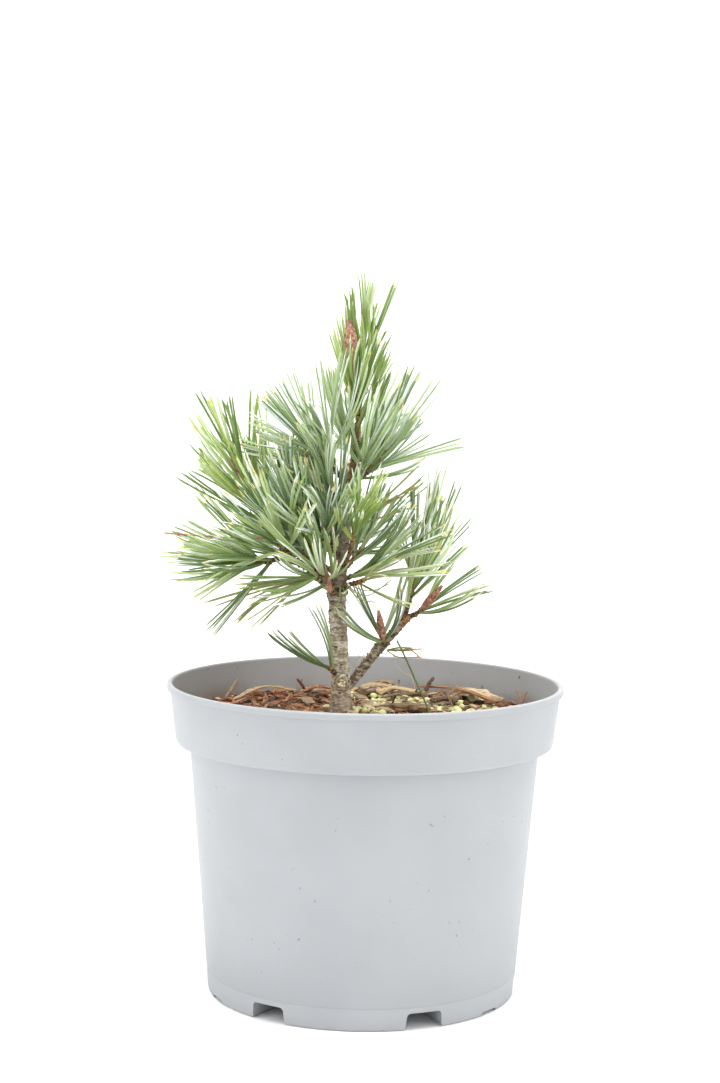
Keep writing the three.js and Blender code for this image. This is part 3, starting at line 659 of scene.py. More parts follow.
class SmoothLine:
    """The centripetal curve through some points, measured along its length."""

    def __init__(self, points, radii=(1,)):
        points = [Vector(p) for p in points]
        self.points = [2 * points[0] - points[1], *points, 2 * points[-1] - points[-2]]
        self.radii = radii
        self.shares = np.linspace(0, 1, LINE_STEPS + 1)
        places = np.array([self.between_points(t) for t in self.shares])
        steps = np.linalg.norm(np.diff(places, axis=0), axis=1)
        self.length = steps.sum()
        self.run = np.concatenate(([0], np.cumsum(steps))) / self.length

    def between_points(self, t):
        spans = len(self.points) - 3
        i = min(int(t * spans), spans - 1)
        w = t * spans - i
        p0, p1, p2, p3 = self.points[i:i + 4]
        d0, d1, d2 = [(b - a).length ** 0.5 for a, b in ((p0, p1), (p1, p2), (p2, p3))]
        out = ((p1 - p0) / d0 - (p2 - p0) / (d0 + d1) + (p2 - p1) / d1) * d1
        back = ((p2 - p1) / d1 - (p3 - p1) / (d1 + d2) + (p3 - p2) / d2) * d1
        bend = 3 * (p2 - p1) - 2 * out - back
        return p1 + out * w + bend * w**2 + (2 * (p1 - p2) + out + back) * w**3

    def at(self, u):
        return self.between_points(np.interp(u, self.run, self.shares))

    def places(self, shares):
        return np.array([self.at(u) for u in shares])

    def radius(self, u):
        t = np.interp(u, self.run, self.shares) * (len(self.radii) - 1)
        return np.interp(t, range(len(self.radii)), self.radii)


def turns_round(sides):
    return 2 * np.pi * np.arange(sides) / sides


def ring_frames(middle):
    """Two directions square to a line at each of its points, carried along without a twist."""
    ahead = np.gradient(middle, axis=0)
    ahead /= np.linalg.norm(ahead, axis=1)[:, None]
    side = Vector(ahead[0]).cross(Vector((0.2, 1, 0.1))).normalized()
    sides = []
    for direction in ahead:
        heading = Vector(direction)
        side = (side - heading * side.dot(heading)).normalized()
        sides.append(side.copy())
    sides = np.array(sides)
    return sides, np.cross(ahead, sides)


def tube(middle, radius, name):
    """A closed tube round a middle line (mm), with a radius for each ring and side."""
    rings, sides = radius.shape
    across, upward = ring_frames(middle)
    turns = turns_round(sides)[:, None]
    rim = across[:, None] * np.cos(turns) + upward[:, None] * np.sin(turns)
    corners = (middle[:, None] + rim * radius[..., None]).reshape(-1, 3)
    corners = np.vstack((corners, middle[:1], middle[-1:]))
    k = np.arange(sides)
    after = (k + 1) % sides
    starts = (np.arange(rings - 1) * sides)[:, None]
    walls = np.stack((starts + k, starts + after, starts + sides + after, starts + sides + k), -1)
    foot, head = rings * sides, rings * sides + 1
    last = (rings - 1) * sides
    fans = [(foot, b, a) for a, b in zip(k, after)]
    fans += [(head, last + a, last + b) for a, b in zip(k, after)]
    mesh = bpy.data.meshes.new(name)
    mesh.from_pydata(corners * MM, [], walls.reshape(-1, 4).tolist() + fans)
    return mesh


def capped(values):
    """A tube's values for its rings, with the first and last again for its two end points."""
    return np.concatenate((values, values[:1], values[-1:]))


laid_finishes = {kind: mulch_finish("laid_" + kind, *MULCH_LOOKS[kind], laid=True)
                 for kind in ("bark_shreds", "wood_chips", "bark_bits")}
for number, (kind, width, thick, *line) in enumerate(LARGER_PIECES):
    strip_line = SmoothLine(line)
    shares = np.linspace(0, 1, STRIP_STEPS)
    middle = strip_line.places(shares)
    turns = turns_round(STRIP_SIDES)
    across, upward = ring_frames(middle)
    flat = turns - np.arctan2(-across[:, 2], upward[:, 2])[:, None]
    rim = ((2 * np.cos(flat) / width) ** SQUARENESS
           + (2 * np.sin(flat) / thick) ** SQUARENESS) ** (-1 / SQUARENESS)
    torn = np.array([noise.noise(Vector((s * 9, number * 3.7, 0))) for s in shares])[:, None]
    blunt = BLUNT_BOARD if width > BOARD_WIDTH else BLUNT_STRIP
    ends = np.clip(np.minimum(shares, 1 - shares) * blunt + END_THICKNESS, 0, 1)
    ragged = np.array([[noise.fractal(Vector((s * 5, 5 * math.cos(t), 5 * math.sin(t) + number)),
                                      1, 2, 3) for t in turns] for s in shares])
    rim = rim * ends[:, None] ** END_CURVE * (1 + TORN * torn + RAGGED * ragged)
    strip = placed(f"laid_piece_{number + 1}", tube(middle, rim, "strip"), laid_finishes[kind])
    grain = np.stack(np.broadcast_arrays(
        shares[:, None] * strip_line.length / FIBRE_LENGTH, FIBRES_ROUND * np.cos(turns),
        FIBRES_ROUND * np.sin(turns) + number), -1)
    marked(strip.data, "grain", capped(grain.reshape(-1, 3)), "FLOAT_VECTOR")
    marked(strip.data, "shade", [(0.35 + number * 0.37) % 1] * len(strip.data.vertices))
    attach(softened(strip, 30), "root")
    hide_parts("soil")

# The trunk and its boughs are one woody frame: pale grey-beige bark with dark leaf scars in a
# spiral, a low flare at the soil and an old pruning scar. Each limb is a tube with bark relief.
TRUNK_FOOT_Z = 133.5
TRUNK_SUNK = 3.5
LIMBS = {
    # name: the places its line passes, and its radius at each
    "trunk": (
        [(TRUNK_FOOT[0], TRUNK_FOOT[1], TRUNK_FOOT_Z), (-11.6, 0, 143), (-12.8, 0, 166),
         (-14, 0, 192), (-11.5, 0, 213), (-9.5, 0, 238), (-6.2, 0, 261), (-5.6, 0, 270)],
        [5.6, 4.6, 4.15, 4.2, 2.7, 2.2, 1.55, 1.3]),
    "bough_left": (
        [(-14, 0, 190), (-19.5, -4.5, 196), (-29, -11, 205), (-40, -15, 209.5)],
        [2.3, 2.2, 1.9, 1.5]),
    "bough_right": (
        [(-11.6, 0, 143), (-4, 4.5, 151), (7, 9.5, 164.5), (21, 10, 179.5)],
        [2.5, 2.3, 2.2, 1.7]),
    "bough_back": ([(-14, 0, 192), (-13.5, 6, 198), (-13, 13, 203)], [2, 1.8, 1.4]),
}
GOLDEN_ANGLE = math.radians(137.508)
# A leaf scar's ledge, pit and dark mark: how far along it is, how high, its share of the width.
SCAR_PARTS = [(-0.4, 0.5, 1), (0.3, 0.34, 0.75), (0.16, 0.4, 1)]
SCAR_WIDTH = 1.15
SCAR_WIDTH_SPREAD = 0.5
SCAR_JITTER = 0.8
LEDGE_OUT = 0.7
PIT_DEPTH = 0.5
FLAKES_OUT = 0.42
FLAKES_ROUND = 0.55
FLAKES_ALONG = 0.38
FLARE = 0.1
FLARE_HEIGHT = 5
# How finely limbs are made: rings, sides, the step from scar to scar, how rough the bark is.
TRUNK_DETAIL = (520, 110, 1.7, 1.0)
BOUGH_DETAIL = (300, 80, 1.15, 0.95)
SHOOT_DETAIL = (60, 14, 1.0, 0.7)
BUD_STEM_DETAIL = (60, 14, 1.0, 0.5)
# The old pruning scar on the trunk's front: how far up it is, its size and its turn to the left.
# Round it are a lip, a low ridge, and dark rings, each with its place, its width and how strong.
CUT_RUN = 15.2
CUT_WIDE = 2.6
CUT_HIGH = 2.5
CUT_TURN = 0.2
CUT_LIP = (0.95, 0.28, 0.75)
CUT_RIDGE = (1.7, 0.2, 0.35)
CUT_RINGS = [(0.8, 0.1, 0.5), (1.4, 0.14, 0.6), (2.0, 0.16, 0.5)]
CUT_HEART = 0.7
CUT_SUNK = 0.3
CUT_FADE = 0.25
WHORL_RUN = 57.5
WHORL_REACH = 12
WHORL_SHADE = 0.8
WHORL_KNOBS = 14
KNOB_SPREAD = 2.6
KNOB_WIDE = 1.1
KNOB_HIGH = 1.3
KNOB_OUT = 0.85
SPUR_RUN = 31
SPUR_REACH = 6
SPUR_SWELLING = 0.22


def hill(*slopes):
    """A smooth hill, 1 at its middle, from pairs of a distance from it and a width."""
    return np.exp(-sum((distance / width) ** 2 for distance, width in slopes))


def ring_at(out, place, width, strength):
    """A ring round the pruning scar."""
    return strength * hill((out - place, width))


def round_from(angle, turns, radius):
    """How far round the bark each place is from an angle."""
    return ((turns - angle + np.pi) % (2 * np.pi) - np.pi)[None, :] * radius[:, None]


def bark_relief(run, turns, radius, scar_step, roughness, seed):
    """How far bark stands out at each place along and round a limb, and where its scars are."""
    relief = np.zeros((len(run), len(turns)))
    dark = np.zeros_like(relief)
    for k in range(int(run[-1] / scar_step) + 1):
        jitter = noise.noise(Vector((k * 0.7, seed, 0)))
        across = round_from(k * GOLDEN_ANGLE + jitter, turns, radius)
        along = (run - (k + SCAR_JITTER * jitter) * scar_step)[:, None]
        wide = SCAR_WIDTH + SCAR_WIDTH_SPREAD * jitter
        ledge, pit, mark = [hill((across, share * wide), (along - at, high))
                            for at, high, share in SCAR_PARTS]
        relief += LEDGE_OUT * ledge - PIT_DEPTH * pit
        dark = np.maximum(dark, mark)
    flakes = np.array([[noise.fractal(Vector((
        math.cos(a) * r * FLAKES_ROUND, math.sin(a) * r * FLAKES_ROUND,
        s * FLAKES_ALONG + seed * 9)), 1, 2, 4) for a in turns] for s, r in zip(run, radius)])
    return relief * roughness + FLAKES_OUT * flakes * roughness, dark


def trunk_features(middle, run, turns, radius, rim, dark):
    """Adds the trunk's root flares, pruning scar and whorl. Says where cut and whorl show."""
    across, upward = ring_frames(middle)
    rise = middle[:, 2] - TRUNK_FOOT_Z
    rim *= 1 + FLARE * np.exp(-rise[:, None] / FLARE_HEIGHT) * (1 + np.cos(3 * turns + 0.6))
    facing = math.atan2(-upward[0][1], -across[0][1]) + CUT_TURN
    wide = round_from(facing, turns, radius) / CUT_WIDE
    high = (run - CUT_RUN)[:, None] / CUT_HIGH
    out = np.hypot(wide, high * (1 - 0.14 * high.clip(-2, 1)))
    out *= 1 + 0.1 * np.sin(3 * np.arctan2(high, wide) + 1)
    rim += ring_at(out, *CUT_LIP) - CUT_SUNK * (out < CUT_HEART)
    rim += ring_at(out, *CUT_RIDGE)
    for ring in CUT_RINGS:
        np.maximum(dark, ring_at(out, *ring), out=dark)
    for k in range(WHORL_KNOBS):
        level = (run - WHORL_RUN - KNOB_SPREAD * math.sin(2.3 * k))[:, None]
        across = round_from(k * GOLDEN_ANGLE, turns, radius)
        knob = hill((across, KNOB_WIDE), (level, KNOB_HIGH))
        rim += KNOB_OUT * knob
        np.maximum(dark, knob, out=dark)
    banded = 0.6 + 0.4 * np.sin(run * 1.9)
    shaded = WHORL_SHADE * hill((run - WHORL_RUN, WHORL_REACH)) * banded
    cut = np.clip((CUT_LIP[0] - out) / CUT_FADE, 0, 1)
    return cut, np.zeros_like(rim) + shaded[:, None]


def limb_mesh(name, line, detail, seed, sunk=0.0):
    """A limb's tube with its bark, marked with its scars, its cut, its whorl and its youth."""
    rings, sides, scar_step, roughness = detail
    shares = np.linspace(0, 1, rings)
    middle = line.places(shares)
    radius = np.array([line.radius(u) for u in shares])
    turns = turns_round(sides)
    run = shares * line.length
    relief, dark = bark_relief(run, turns, radius, scar_step, roughness, seed)
    rim = radius[:, None] + relief
    cut = whorl = np.zeros_like(rim)
    if name == "trunk_bark":
        cut, whorl = trunk_features(middle, run, turns, radius, rim, dark)
    if name == "bough_right":
        rim *= 1 + SPUR_SWELLING * hill((run - SPUR_RUN, SPUR_REACH))[:, None]
    marks = {"scar": dark, "cut": cut, "whorl": whorl}
    if sunk:
        middle = np.vstack((middle[:1] - (0, 0, sunk), middle))
        rim = np.vstack((rim[:1] * 1.04, rim))
        run = np.concatenate(([0], run))
        marks = {label: np.vstack((values[:1], values)) for label, values in marks.items()}
    marks["young"] = np.repeat(run / run[-1], sides)
    mesh = tube(middle, rim, name)
    for label, values in marks.items():
        marked(mesh, label, capped(values.ravel()))
    return mesh


def bark_finish(name, pale, deep, scar, tip, tip_from, lichen, top=None):
    """Young pine bark: pale and flaky, with dark scars, going over into a shoot's own colour."""
    bark = Finish(name, deep, 0.88)
    young = bark.attribute("young")
    flake = bark.noise(420, 4, bark.stretched(0.8, 0.8, 1.5))
    bark.coat(flake.between(0.4, 0.6), pale)
    bark.coat(bark.noise(700, 3, bark.stretched(0.5, 0.5, 2)).between(0.56, 0.64) * 0.62, scar)
    bark.coat(young.between(*tip_from) * 0.78, tip)
    if top:
        bark.coat(young.between(0.66, 0.85) * 0.85, top)
    bark.coat(bark.attribute("whorl") * 0.75, scar)
    bark.coat(bark.noise(130, 3).between(0.48, 0.66) * lichen, (150, 156, 96))
    bark.coat((1 - young.between(0.02, 0.17)) * 0.6, (118, 90, 66))
    rings = bark.noise(950, 3).between(0.42, 0.56)
    bark.coat(bark.attribute("cut"), bark.blend(rings, (128, 108, 70), (240, 232, 200)))
    bark.coat(bark.attribute("scar").between(0.22, 0.75) * 0.95, scar)
    bark.bump(flake + bark.noise(1400, 2) * 0.4, 0.45)
    return bark.material


trunk_bark = bark_finish("trunk_bark", (230, 220, 202), (163, 149, 127), (62, 48, 36),
                         (108, 96, 76), (0.36, 0.5), 0.25, top=(172, 128, 88))
bough_bark = bark_finish("bough_bark", (188, 174, 154), (112, 96, 80), (46, 35, 27),
                         (178, 124, 74), (0.8, 0.97), 0.15)
limbs = {name: SmoothLine(*limb) for name, limb in LIMBS.items()}
trunk = placed("trunk_wood", limb_mesh(
    "trunk_bark", limbs["trunk"], TRUNK_DETAIL, 1, TRUNK_SUNK), trunk_bark)
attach(softened(trunk, 80), "root")
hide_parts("trunk")
for seed, name in enumerate(("bough_left", "bough_right", "bough_back"), 2):
    bough = placed(name + "_wood", limb_mesh(name, limbs[name], BOUGH_DETAIL, seed), bough_bark)
    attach(softened(bough, 80), "root")
    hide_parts(name)

# The shoots that carry the needles grow from the limbs by the source's rule: each mass has one
# stem with a few side twigs, in brown young bark, knobbly where the needle bundles stand.
# What each mass's row says: its limb and place on it, its stem's tip and bow, where on the stem
# its bundles start, their number, length, spreads and rise, its side twigs, bud and tone.
MASS_FIELDS = ("limb", "at", "tip", "bow", "zone", "bundles", "length", "spreads", "rise",
               "side_twigs", "bud", "tone")
MASSES = {
    "leader": ("trunk", 1, (-4.9, -2, 301), 0, 0.04, 17, 41, (28, 8), 0.04, 0, 18, "fresh"),
    "upper_left": (
        "trunk", 0.81, (-26, -14, 260), 1, 0.2, 12, 44, (42, 14), 0.02, 1, 0, "blue"),
    "upper_right": ("trunk", 0.8, (3, -6, 254), 1, 0.2, 12, 47, (38, 12), 0.1, 1, 8, "blue"),
    "upper_back": ("trunk", 0.82, (-3, 17, 262), 1, 0.25, 9, 42, (44, 12), 0.08, 1, 8, "blue"),
    "left_top": (
        "bough_left", 0.87, (-60, -13, 248), 2, 0.4, 19, 43, (34, 10), 0.06, 0, 11, "fresh"),
    "left_mid": (
        "bough_left", 0.74, (-42, -24, 217), 1, 0.25, 8, 44, (36, 12), 0.03, 1, 0, "green"),
    "left_low": ("bough_left", 1, (-54, -22, 208), 1, 0.1, 11, 47, (36, 10), 0, 0, 0, "green"),
    "left_inner": (
        "bough_left", 0.6, (-33, -19, 229), 1, 0.2, 9, 41, (40, 12), 0.06, 1, 10, "blue"),
    "left_hanging": (
        "bough_left", 0.42, (-33, -14, 197), 0, 0.3, 4, 42, (34, 14), -0.14, 0, 0, "old"),
    "front": ("trunk", 0.45, (-22, -17, 204), 1, 0.2, 11, 46, (46, 14), 0.09, 1, 0, "green"),
    "middle": ("trunk", 0.55, (-24, -15, 224), 2, 0.2, 9, 44, (36, 12), 0.09, 1, 0, "blue"),
    "middle_high": (
        "trunk", 0.66, (-17.5, -15, 242), 1, 0.2, 9, 39, (38, 12), 0.08, 0, 0, "blue"),
    "middle_fresh": (
        "trunk", 0.52, (-5.5, -27, 226), 5, 0.78, 10, 29, (34, 10), 0.08, 0, 0, "fresh"),
    "front_low": ("trunk", 0.44, (-1, -15, 199), 0, 0.3, 4, 38, (46, 14), -0.1, 0, 0, "old"),
    "right_mid": ("trunk", 0.47, (2, -9, 205), 1, 0.2, 7, 45, (26, 12), 0.05, 0, 0, "green"),
    "right_low": (
        "bough_right", 0.9, (26, 7, 204), -1, 0.2, 12, 44, (36, 10), 0.07, 1, 0, "green"),
    "right_out": ("bough_right", 1, (28, 5, 185), 1, 0.1, 6, 39, (34, 14), 0, 0, 14, "green"),
    "right_spur": (
        "bough_right", 0.68, (7.8, 6, 170), 3, 0.6, 8, 34, (60, 30), 0.06, 0, 13, "blue"),
    "foot": ("trunk", 0.115, (-17.5, -7, 156.5), 0, 0.4, 3, 37, (36, 14), 0.08, 0, 0, "blue"),
    "back": ("bough_back", 1, (-16, 25, 214), 1, 0.1, 10, 43, (42, 12), 0.08, 1, 8, "green"),
    "back_left": (
        "bough_back", 0.6, (-38, 18, 219), 2, 0.3, 10, 44, (42, 12), 0.08, 1, 0, "blue"),
    "back_right": (
        "bough_back", 0.7, (1, 20, 218), 2, 0.3, 7, 38, (38, 12), 0.1, 0, 0, "blue"),
}
# How many finer twigs a mass has beyond the source's, where it isn't one. Two masses have a second
# short row of bundles: the leader down its own stem, and the low left one out to the left.
FINER_TWIGS = {"left_top": 2, **dict.fromkeys((
    "upper_right", "upper_left", "right_mid", "right_low", "left_hanging", "front_low", "foot",
    "middle_fresh", "right_spur"), 0)}
SECOND_ROWS = {
    # mass: foot and tip of the row, where its bundles start, its share of the mass's bundles
    "leader": ((-8, -2, 244), (-5.4, -3, 280), 0.2, 0.35),
    "left_low": ((-45, -18, 207), (-57, -24, 208.5), 0.1, 0.55),
}
# The leader's bud and the whorl's front bud stand on short stems of their own.
BUD_STEMS = [
    [(-5.4, -0.5, 282), (-7, -4, 294), (-8.6, -7.5, 304)],
    [(-14, -2, 191), (-16, -6, 192.5), (-18, -10, 195)],
]
# A twig's share of its mass's bundles, its length to the stem's, and its radius at foot and tip.
SIDE_TWIG = (0.45, 0.42, (0.95, 0.8))
FINER_TWIG = (0.3, 0.3, (0.75, 0.6))
STEM_RADII = (1.25, 0.9)
BUD_STEM_RADII = (1.2, 1.1, 1)
ROW_RADII = (0.9, 0.7)
TWIG_LEAN = 0.75
TWIG_BOW = 0.4
TWIG_ZONE = 0.35
WORD = 2**32
UP = Vector((0, 0, 1))


def draw(mass, item, use):
    """A number from 0 to 1, always the same for the same three whole numbers."""
    mixed = (mass * 374761393 + item * 668265263 + use * 2246822519) % WORD
    mixed = (mixed ^ mixed >> 15) * 2246822507 % WORD
    mixed = (mixed ^ mixed >> 13) * 3266489909 % WORD
    return (mixed ^ mixed >> 16) / WORD


def leaning(heading, around, angle):
    """A direction that leans away from a heading by an angle, to a side of it."""
    level = heading.cross(UP)
    if level.length_squared < 0.01:
        level = heading.cross(Vector((0, -1, 0)))
    level.normalize()
    outward = level * math.cos(around) + level.cross(heading) * math.sin(around)
    return heading * math.cos(angle) + outward * math.sin(angle)


class Twig:
    """A bowed twig from its foot to its tip, with the share of its mass's bundles it carries."""

    def __init__(self, foot, tip, bow, zone, share, radii):
        self.foot = foot
        self.tip = tip
        self.bow = bow
        self.zone = zone
        self.share = share
        self.radii = radii

    def at(self, u):
        return self.foot.lerp(self.tip, u) - UP * (4 * self.bow * u * (1 - u))

    def heading(self, u):
        return (self.at(u + 0.02) - self.at(u)).normalized()


masses = {}
for number, (name, row) in enumerate(MASSES.items(), 1):
    mass = masses[name] = dict(zip(MASS_FIELDS, row), number=number)
    foot = limbs[mass["limb"]].at(mass["at"])
    stem = Twig(foot, Vector(mass["tip"]), mass["bow"], mass["zone"], 1, STEM_RADII)
    mass["twigs"] = [stem]
    for k in range(mass["side_twigs"] + FINER_TWIGS.get(name, 1)):
        if k < mass["side_twigs"]:
            u = 0.45 + 0.3 * k + 0.1 * draw(number, k, 11)
            share, long, radii = SIDE_TWIG
        else:
            u = 0.35 + 0.5 * draw(number, k, 13)
            share, long, radii = FINER_TWIG
        heading = leaning(stem.heading(u), (k + draw(number, k, 12)) * math.pi, TWIG_LEAN)
        tip = stem.at(u) + heading * (long * (stem.tip - foot).length)
        mass["twigs"].append(Twig(stem.at(u), tip, TWIG_BOW, TWIG_ZONE, share, radii))
    if name in SECOND_ROWS:
        row_foot, row_tip, zone, share = SECOND_ROWS[name]
        mass["twigs"].append(Twig(Vector(row_foot), Vector(row_tip), 0, zone, share, ROW_RADII))

shoot_bark = bark_finish("shoot_bark", (148, 120, 88), (98, 76, 54), (58, 42, 30),
                         (196, 138, 78), (0.55, 1), 0.15)
shoots = bmesh.new()
for line in BUD_STEMS:
    shoots.from_mesh(limb_mesh("bud_stem", SmoothLine(line, BUD_STEM_RADII), BUD_STEM_DETAIL, 7))
for name, mass in masses.items():
    for k, twig in enumerate(mass["twigs"]):
        line = SmoothLine([twig.at(i / 4) for i in range(5)],
                          [twig.radii[0] * (1 - i / 4) + twig.radii[1] * i / 4 for i in range(5)])
        shoots.from_mesh(limb_mesh(name, line, SHOOT_DETAIL, 10 * mass["number"] + k))
shoot_wood = placed("shoots", mesh_of(shoots, "shoots"), shoot_bark)
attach(softened(shoot_wood, 80), "root")
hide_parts(*["needles_" + name for name in masses])

# The winter buds are slim cones of resin-brown scales with pale edges, closed over one another in
# a spiral. One tree makes a bud's core and sets its scales round it from the foot to the point.
SCALE_STEP = 0.42
SCALE_LAP = 0.75
TIP_SCALES = 14
BUD_SUNK = 1.5
BUD_GROWTH = 0.085
LEAST_THICKNESS = 0.75
# The leader's bud is long and stouter than its length would make it.
LEADER_BUD = (BUD_STEMS[0][-1], (-0.08, -0.05, 1), 16.5)
STOUT_FROM = 15
STOUT = 1.4
# Buds beside the masses' own: foot, heading, length.
SIDE_BUDS = [
    (BUD_STEMS[1][-1], (-0.2, -0.25, 1), 10),
    ((-35.5, -19, 224), (0.1, -0.2, 1), 11),
]


def make_bud_tree():
    tree = Growth("scaly_bud", {
        "Length": "Float", "Thickness": "Float", "Scales": "Int", "Finish": "Material"})
    length, thick, count = [tree.given[name] for name in ("Length", "Thickness", "Scales")]
    index = tree.shape("InputIndex")
    share = (index + 0.5) / count
    wide = ((share * 0.8 + 0.16) * math.pi).sine() * thick * (1 - share * 0.35)
    turn = index * GOLDEN_ANGLE
    across, deep = turn.cosine(), turn.sine()
    spot = tree.vector(across * wide * 0.9, deep * wide * 0.9, share * length)
    points = tree.shape("SetPosition", tree.shape("MeshLine", Count=count), Position=spot)
    turned_out = tree.node("FunctionNodeAxesToRotation", {
        "primary_axis": "Z", "secondary_axis": "X"}, {
        0: tree.vector(across * 0.28, deep * 0.28, 1), 1: tree.vector(across, deep, 0)})
    size = tree.vector(thick * 0.26, thick * (0.5 - share * 0.22), thick * (0.95 - share * 0.3))
    scale = tree.shape("MeshIcoSphere", Radius=1.0, Subdivisions=2)
    laid = tree.shape("InstanceOnPoints", points, Instance=scale, Rotation=turned_out, Scale=size)
    laid = tree.store(laid, "shade", tree.drawn(0, 1, 5), domain="INSTANCE")
    half = length * 0.5
    core = tree.shape("MeshIcoSphere", Radius=1.0, Subdivisions=3)
    core = tree.shape("Transform", core, Translation=tree.vector(0, 0, half * 0.96),
                      Scale=tree.vector(thick * 0.86, thick * 0.86, half))
    smooth = tree.shape("SetShadeSmooth", tree.shape("JoinGeometry", [core, laid]))
    return tree.end(tree.shape("SetMaterial", smooth, Material=tree.given["Finish"]))


def bud_thickness(length):
    """How thick a bud is for its length."""
    return (BUD_GROWTH * length + LEAST_THICKNESS) * (STOUT if length > STOUT_FROM else 1)


bud_scale = Finish("bud_scales", (128, 78, 62), 0.55)
resin = bud_scale.noise(500, 3).between(0.35, 0.65)
bud_scale.coat(resin, (176, 122, 102))
bud_scale.coat(bud_scale.attribute("shade") * 0.5, (214, 168, 138))
bud_scale.coat(bud_scale.noise(1100, 1).between(0.6, 0.7) * 0.7, (228, 206, 186))
bud_scale.bump(resin, 0.3)

bud_tree = make_bud_tree()
budded = {"needles_" + name: mass for name, mass in masses.items() if mass["bud"]}
bud_places = [(mass["twigs"][0].tip, mass["twigs"][0].heading(0.96), mass["bud"])
              for mass in budded.values()]
bud_places[0] = LEADER_BUD
bud_places = [(Vector(foot), Vector(heading), length)
              for foot, heading, length in bud_places + SIDE_BUDS]
buds = bmesh.new()
for foot, heading, length in bud_places:
    one = grown(placed("bud", bpy.data.meshes.new("bud")), bud_tree,
                length=(length + BUD_SUNK) * MM, thickness=bud_thickness(length) * MM,
                scales=int((length + BUD_SUNK) / SCALE_STEP / SCALE_LAP) + TIP_SCALES,
                finish=bud_scale.material)
    stand = heading.to_track_quat("Z", "Y").to_matrix().to_4x4()
    sunk_foot = (foot - heading.normalized() * BUD_SUNK) * MM
    one.data.transform(Matrix.Translation(sunk_foot) @ stand)
    buds.from_mesh(one.data)
    bpy.data.objects.remove(one)
bud_piece = placed("buds", mesh_of(buds, "buds"), bud_scale.material)
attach(bud_piece, "root")
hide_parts(*budded)

# The needles stand in bundles of five, each three-sided: the outer face green, the two inner ones
# blue-white with wax, the point often yellow. The bundles follow the source's rule, and one tree
# splits each bundle's line into five needles that spread towards their points.
NEEDLES = 5
SPARSE_NEEDLES = 3
NEEDLE_WIDTH = 0.95
NEEDLE_GROWTH = 1.06
CURL = 0.18
WAVE = 0.028
ROOT_DEPTH = 0.5
FORWARD_BEND = 0.5
SWAY = 0.16
TURN_JITTER = 0.8
LEAN_JITTER = 16
LEAST_LENGTH = 0.88
LENGTH_SPREAD = 0.2
FAN_CURVE = 1.3
HANGING = -0.05
CROWN_REACH = (94.6, 94.6, 338.5)
BUNDLE_STEPS = 8
CLEAR_OF_LIMB = 0.7
BARE_BUD = 12
LIMB_PARTS = 16
TAPER = 0.1
ROOT_WIDTH = 0.65
GREEN_FACING = 0.45
LIGHT_FROM = 0.66
DEEP_UNDER = 0.33
NEEDLE_FACES = ("deep", "middle", "light", "waxy", "tip")
TONES = {
    # tone: deep, middle and light green of the outer face, then the waxy inner faces, then the tip
    "fresh": ((108, 134, 62), (138, 162, 82), (168, 186, 106), (204, 218, 184), (214, 200, 122)),
    "green": ((104, 130, 74), (144, 168, 102), (178, 196, 136), (222, 228, 218), (216, 202, 126)),
    "blue": ((98, 124, 80), (138, 160, 108), (172, 192, 142), (221, 228, 221), (214, 200, 130)),
    "old": ((126, 134, 82), (150, 154, 98), (176, 176, 120), (200, 202, 164), (200, 184, 120)),
}
TIP_SHARES = {"fresh": 0.03, "green": 0.04, "blue": 0.04, "old": 0.05}
SPREADS = {"fresh": 0.05, "green": 0.06, "blue": 0.06, "old": 0.1}


def segment_gap(a, b, c, d):
    """Shortest distance between the segments a-b and c-d."""
    u, v, w = b - a, d - c, a - c
    uu, uv, vv, uw, vw = u.dot(u), u.dot(v), v.dot(v), u.dot(w), v.dot(w)
    det = uu * vv - uv * uv
    s = min(max((uv * vw - vv * uw) / det, 0), 1) if det > 1e-9 else 0
    t = min(max((uv * s + vw) / (vv or 1), 0), 1)
    s = min(max((uv * t - uw) / (uu or 1), 0), 1)
    return (w + u * s - v * t).length


limb_pieces = [
    (line.at(i / LIMB_PARTS), line.at((i + 1) / LIMB_PARTS), line.radius(i / LIMB_PARTS))
    for line in limbs.values() for i in range(LIMB_PARTS)]
bare_buds = [(foot, foot + heading.normalized() * length, bud_thickness(length))
             for foot, heading, length in bud_places if length > BARE_BUD]


def hides_bud(root, knee, point):
    """Whether a line passes in front of one of the larger buds, which stand bare in the crown."""
    from_front = [Vector((place.x, 0, place.z)) for place in (root.lerp(knee, 0.2), knee, point)]
    for foot, tip, room in bare_buds:
        across = Vector((foot.x, 0, foot.z)), Vector((tip.x, 0, tip.z))
        near = min(segment_gap(*from_front[:2], *across), segment_gap(*from_front[1:], *across))
        inside = segment_gap(root.lerp(knee, 0.3), knee, foot, tip) < 1
        if near < room and (knee.y < foot.y + 1 or inside):
            return True
    return False


def touches_limb(root, knee, point):
    return any(min(segment_gap(root.lerp(knee, 0.35), knee, a, b), segment_gap(knee, point, a, b))
               < radius + CLEAR_OF_LIMB for a, b, radius in limb_pieces)


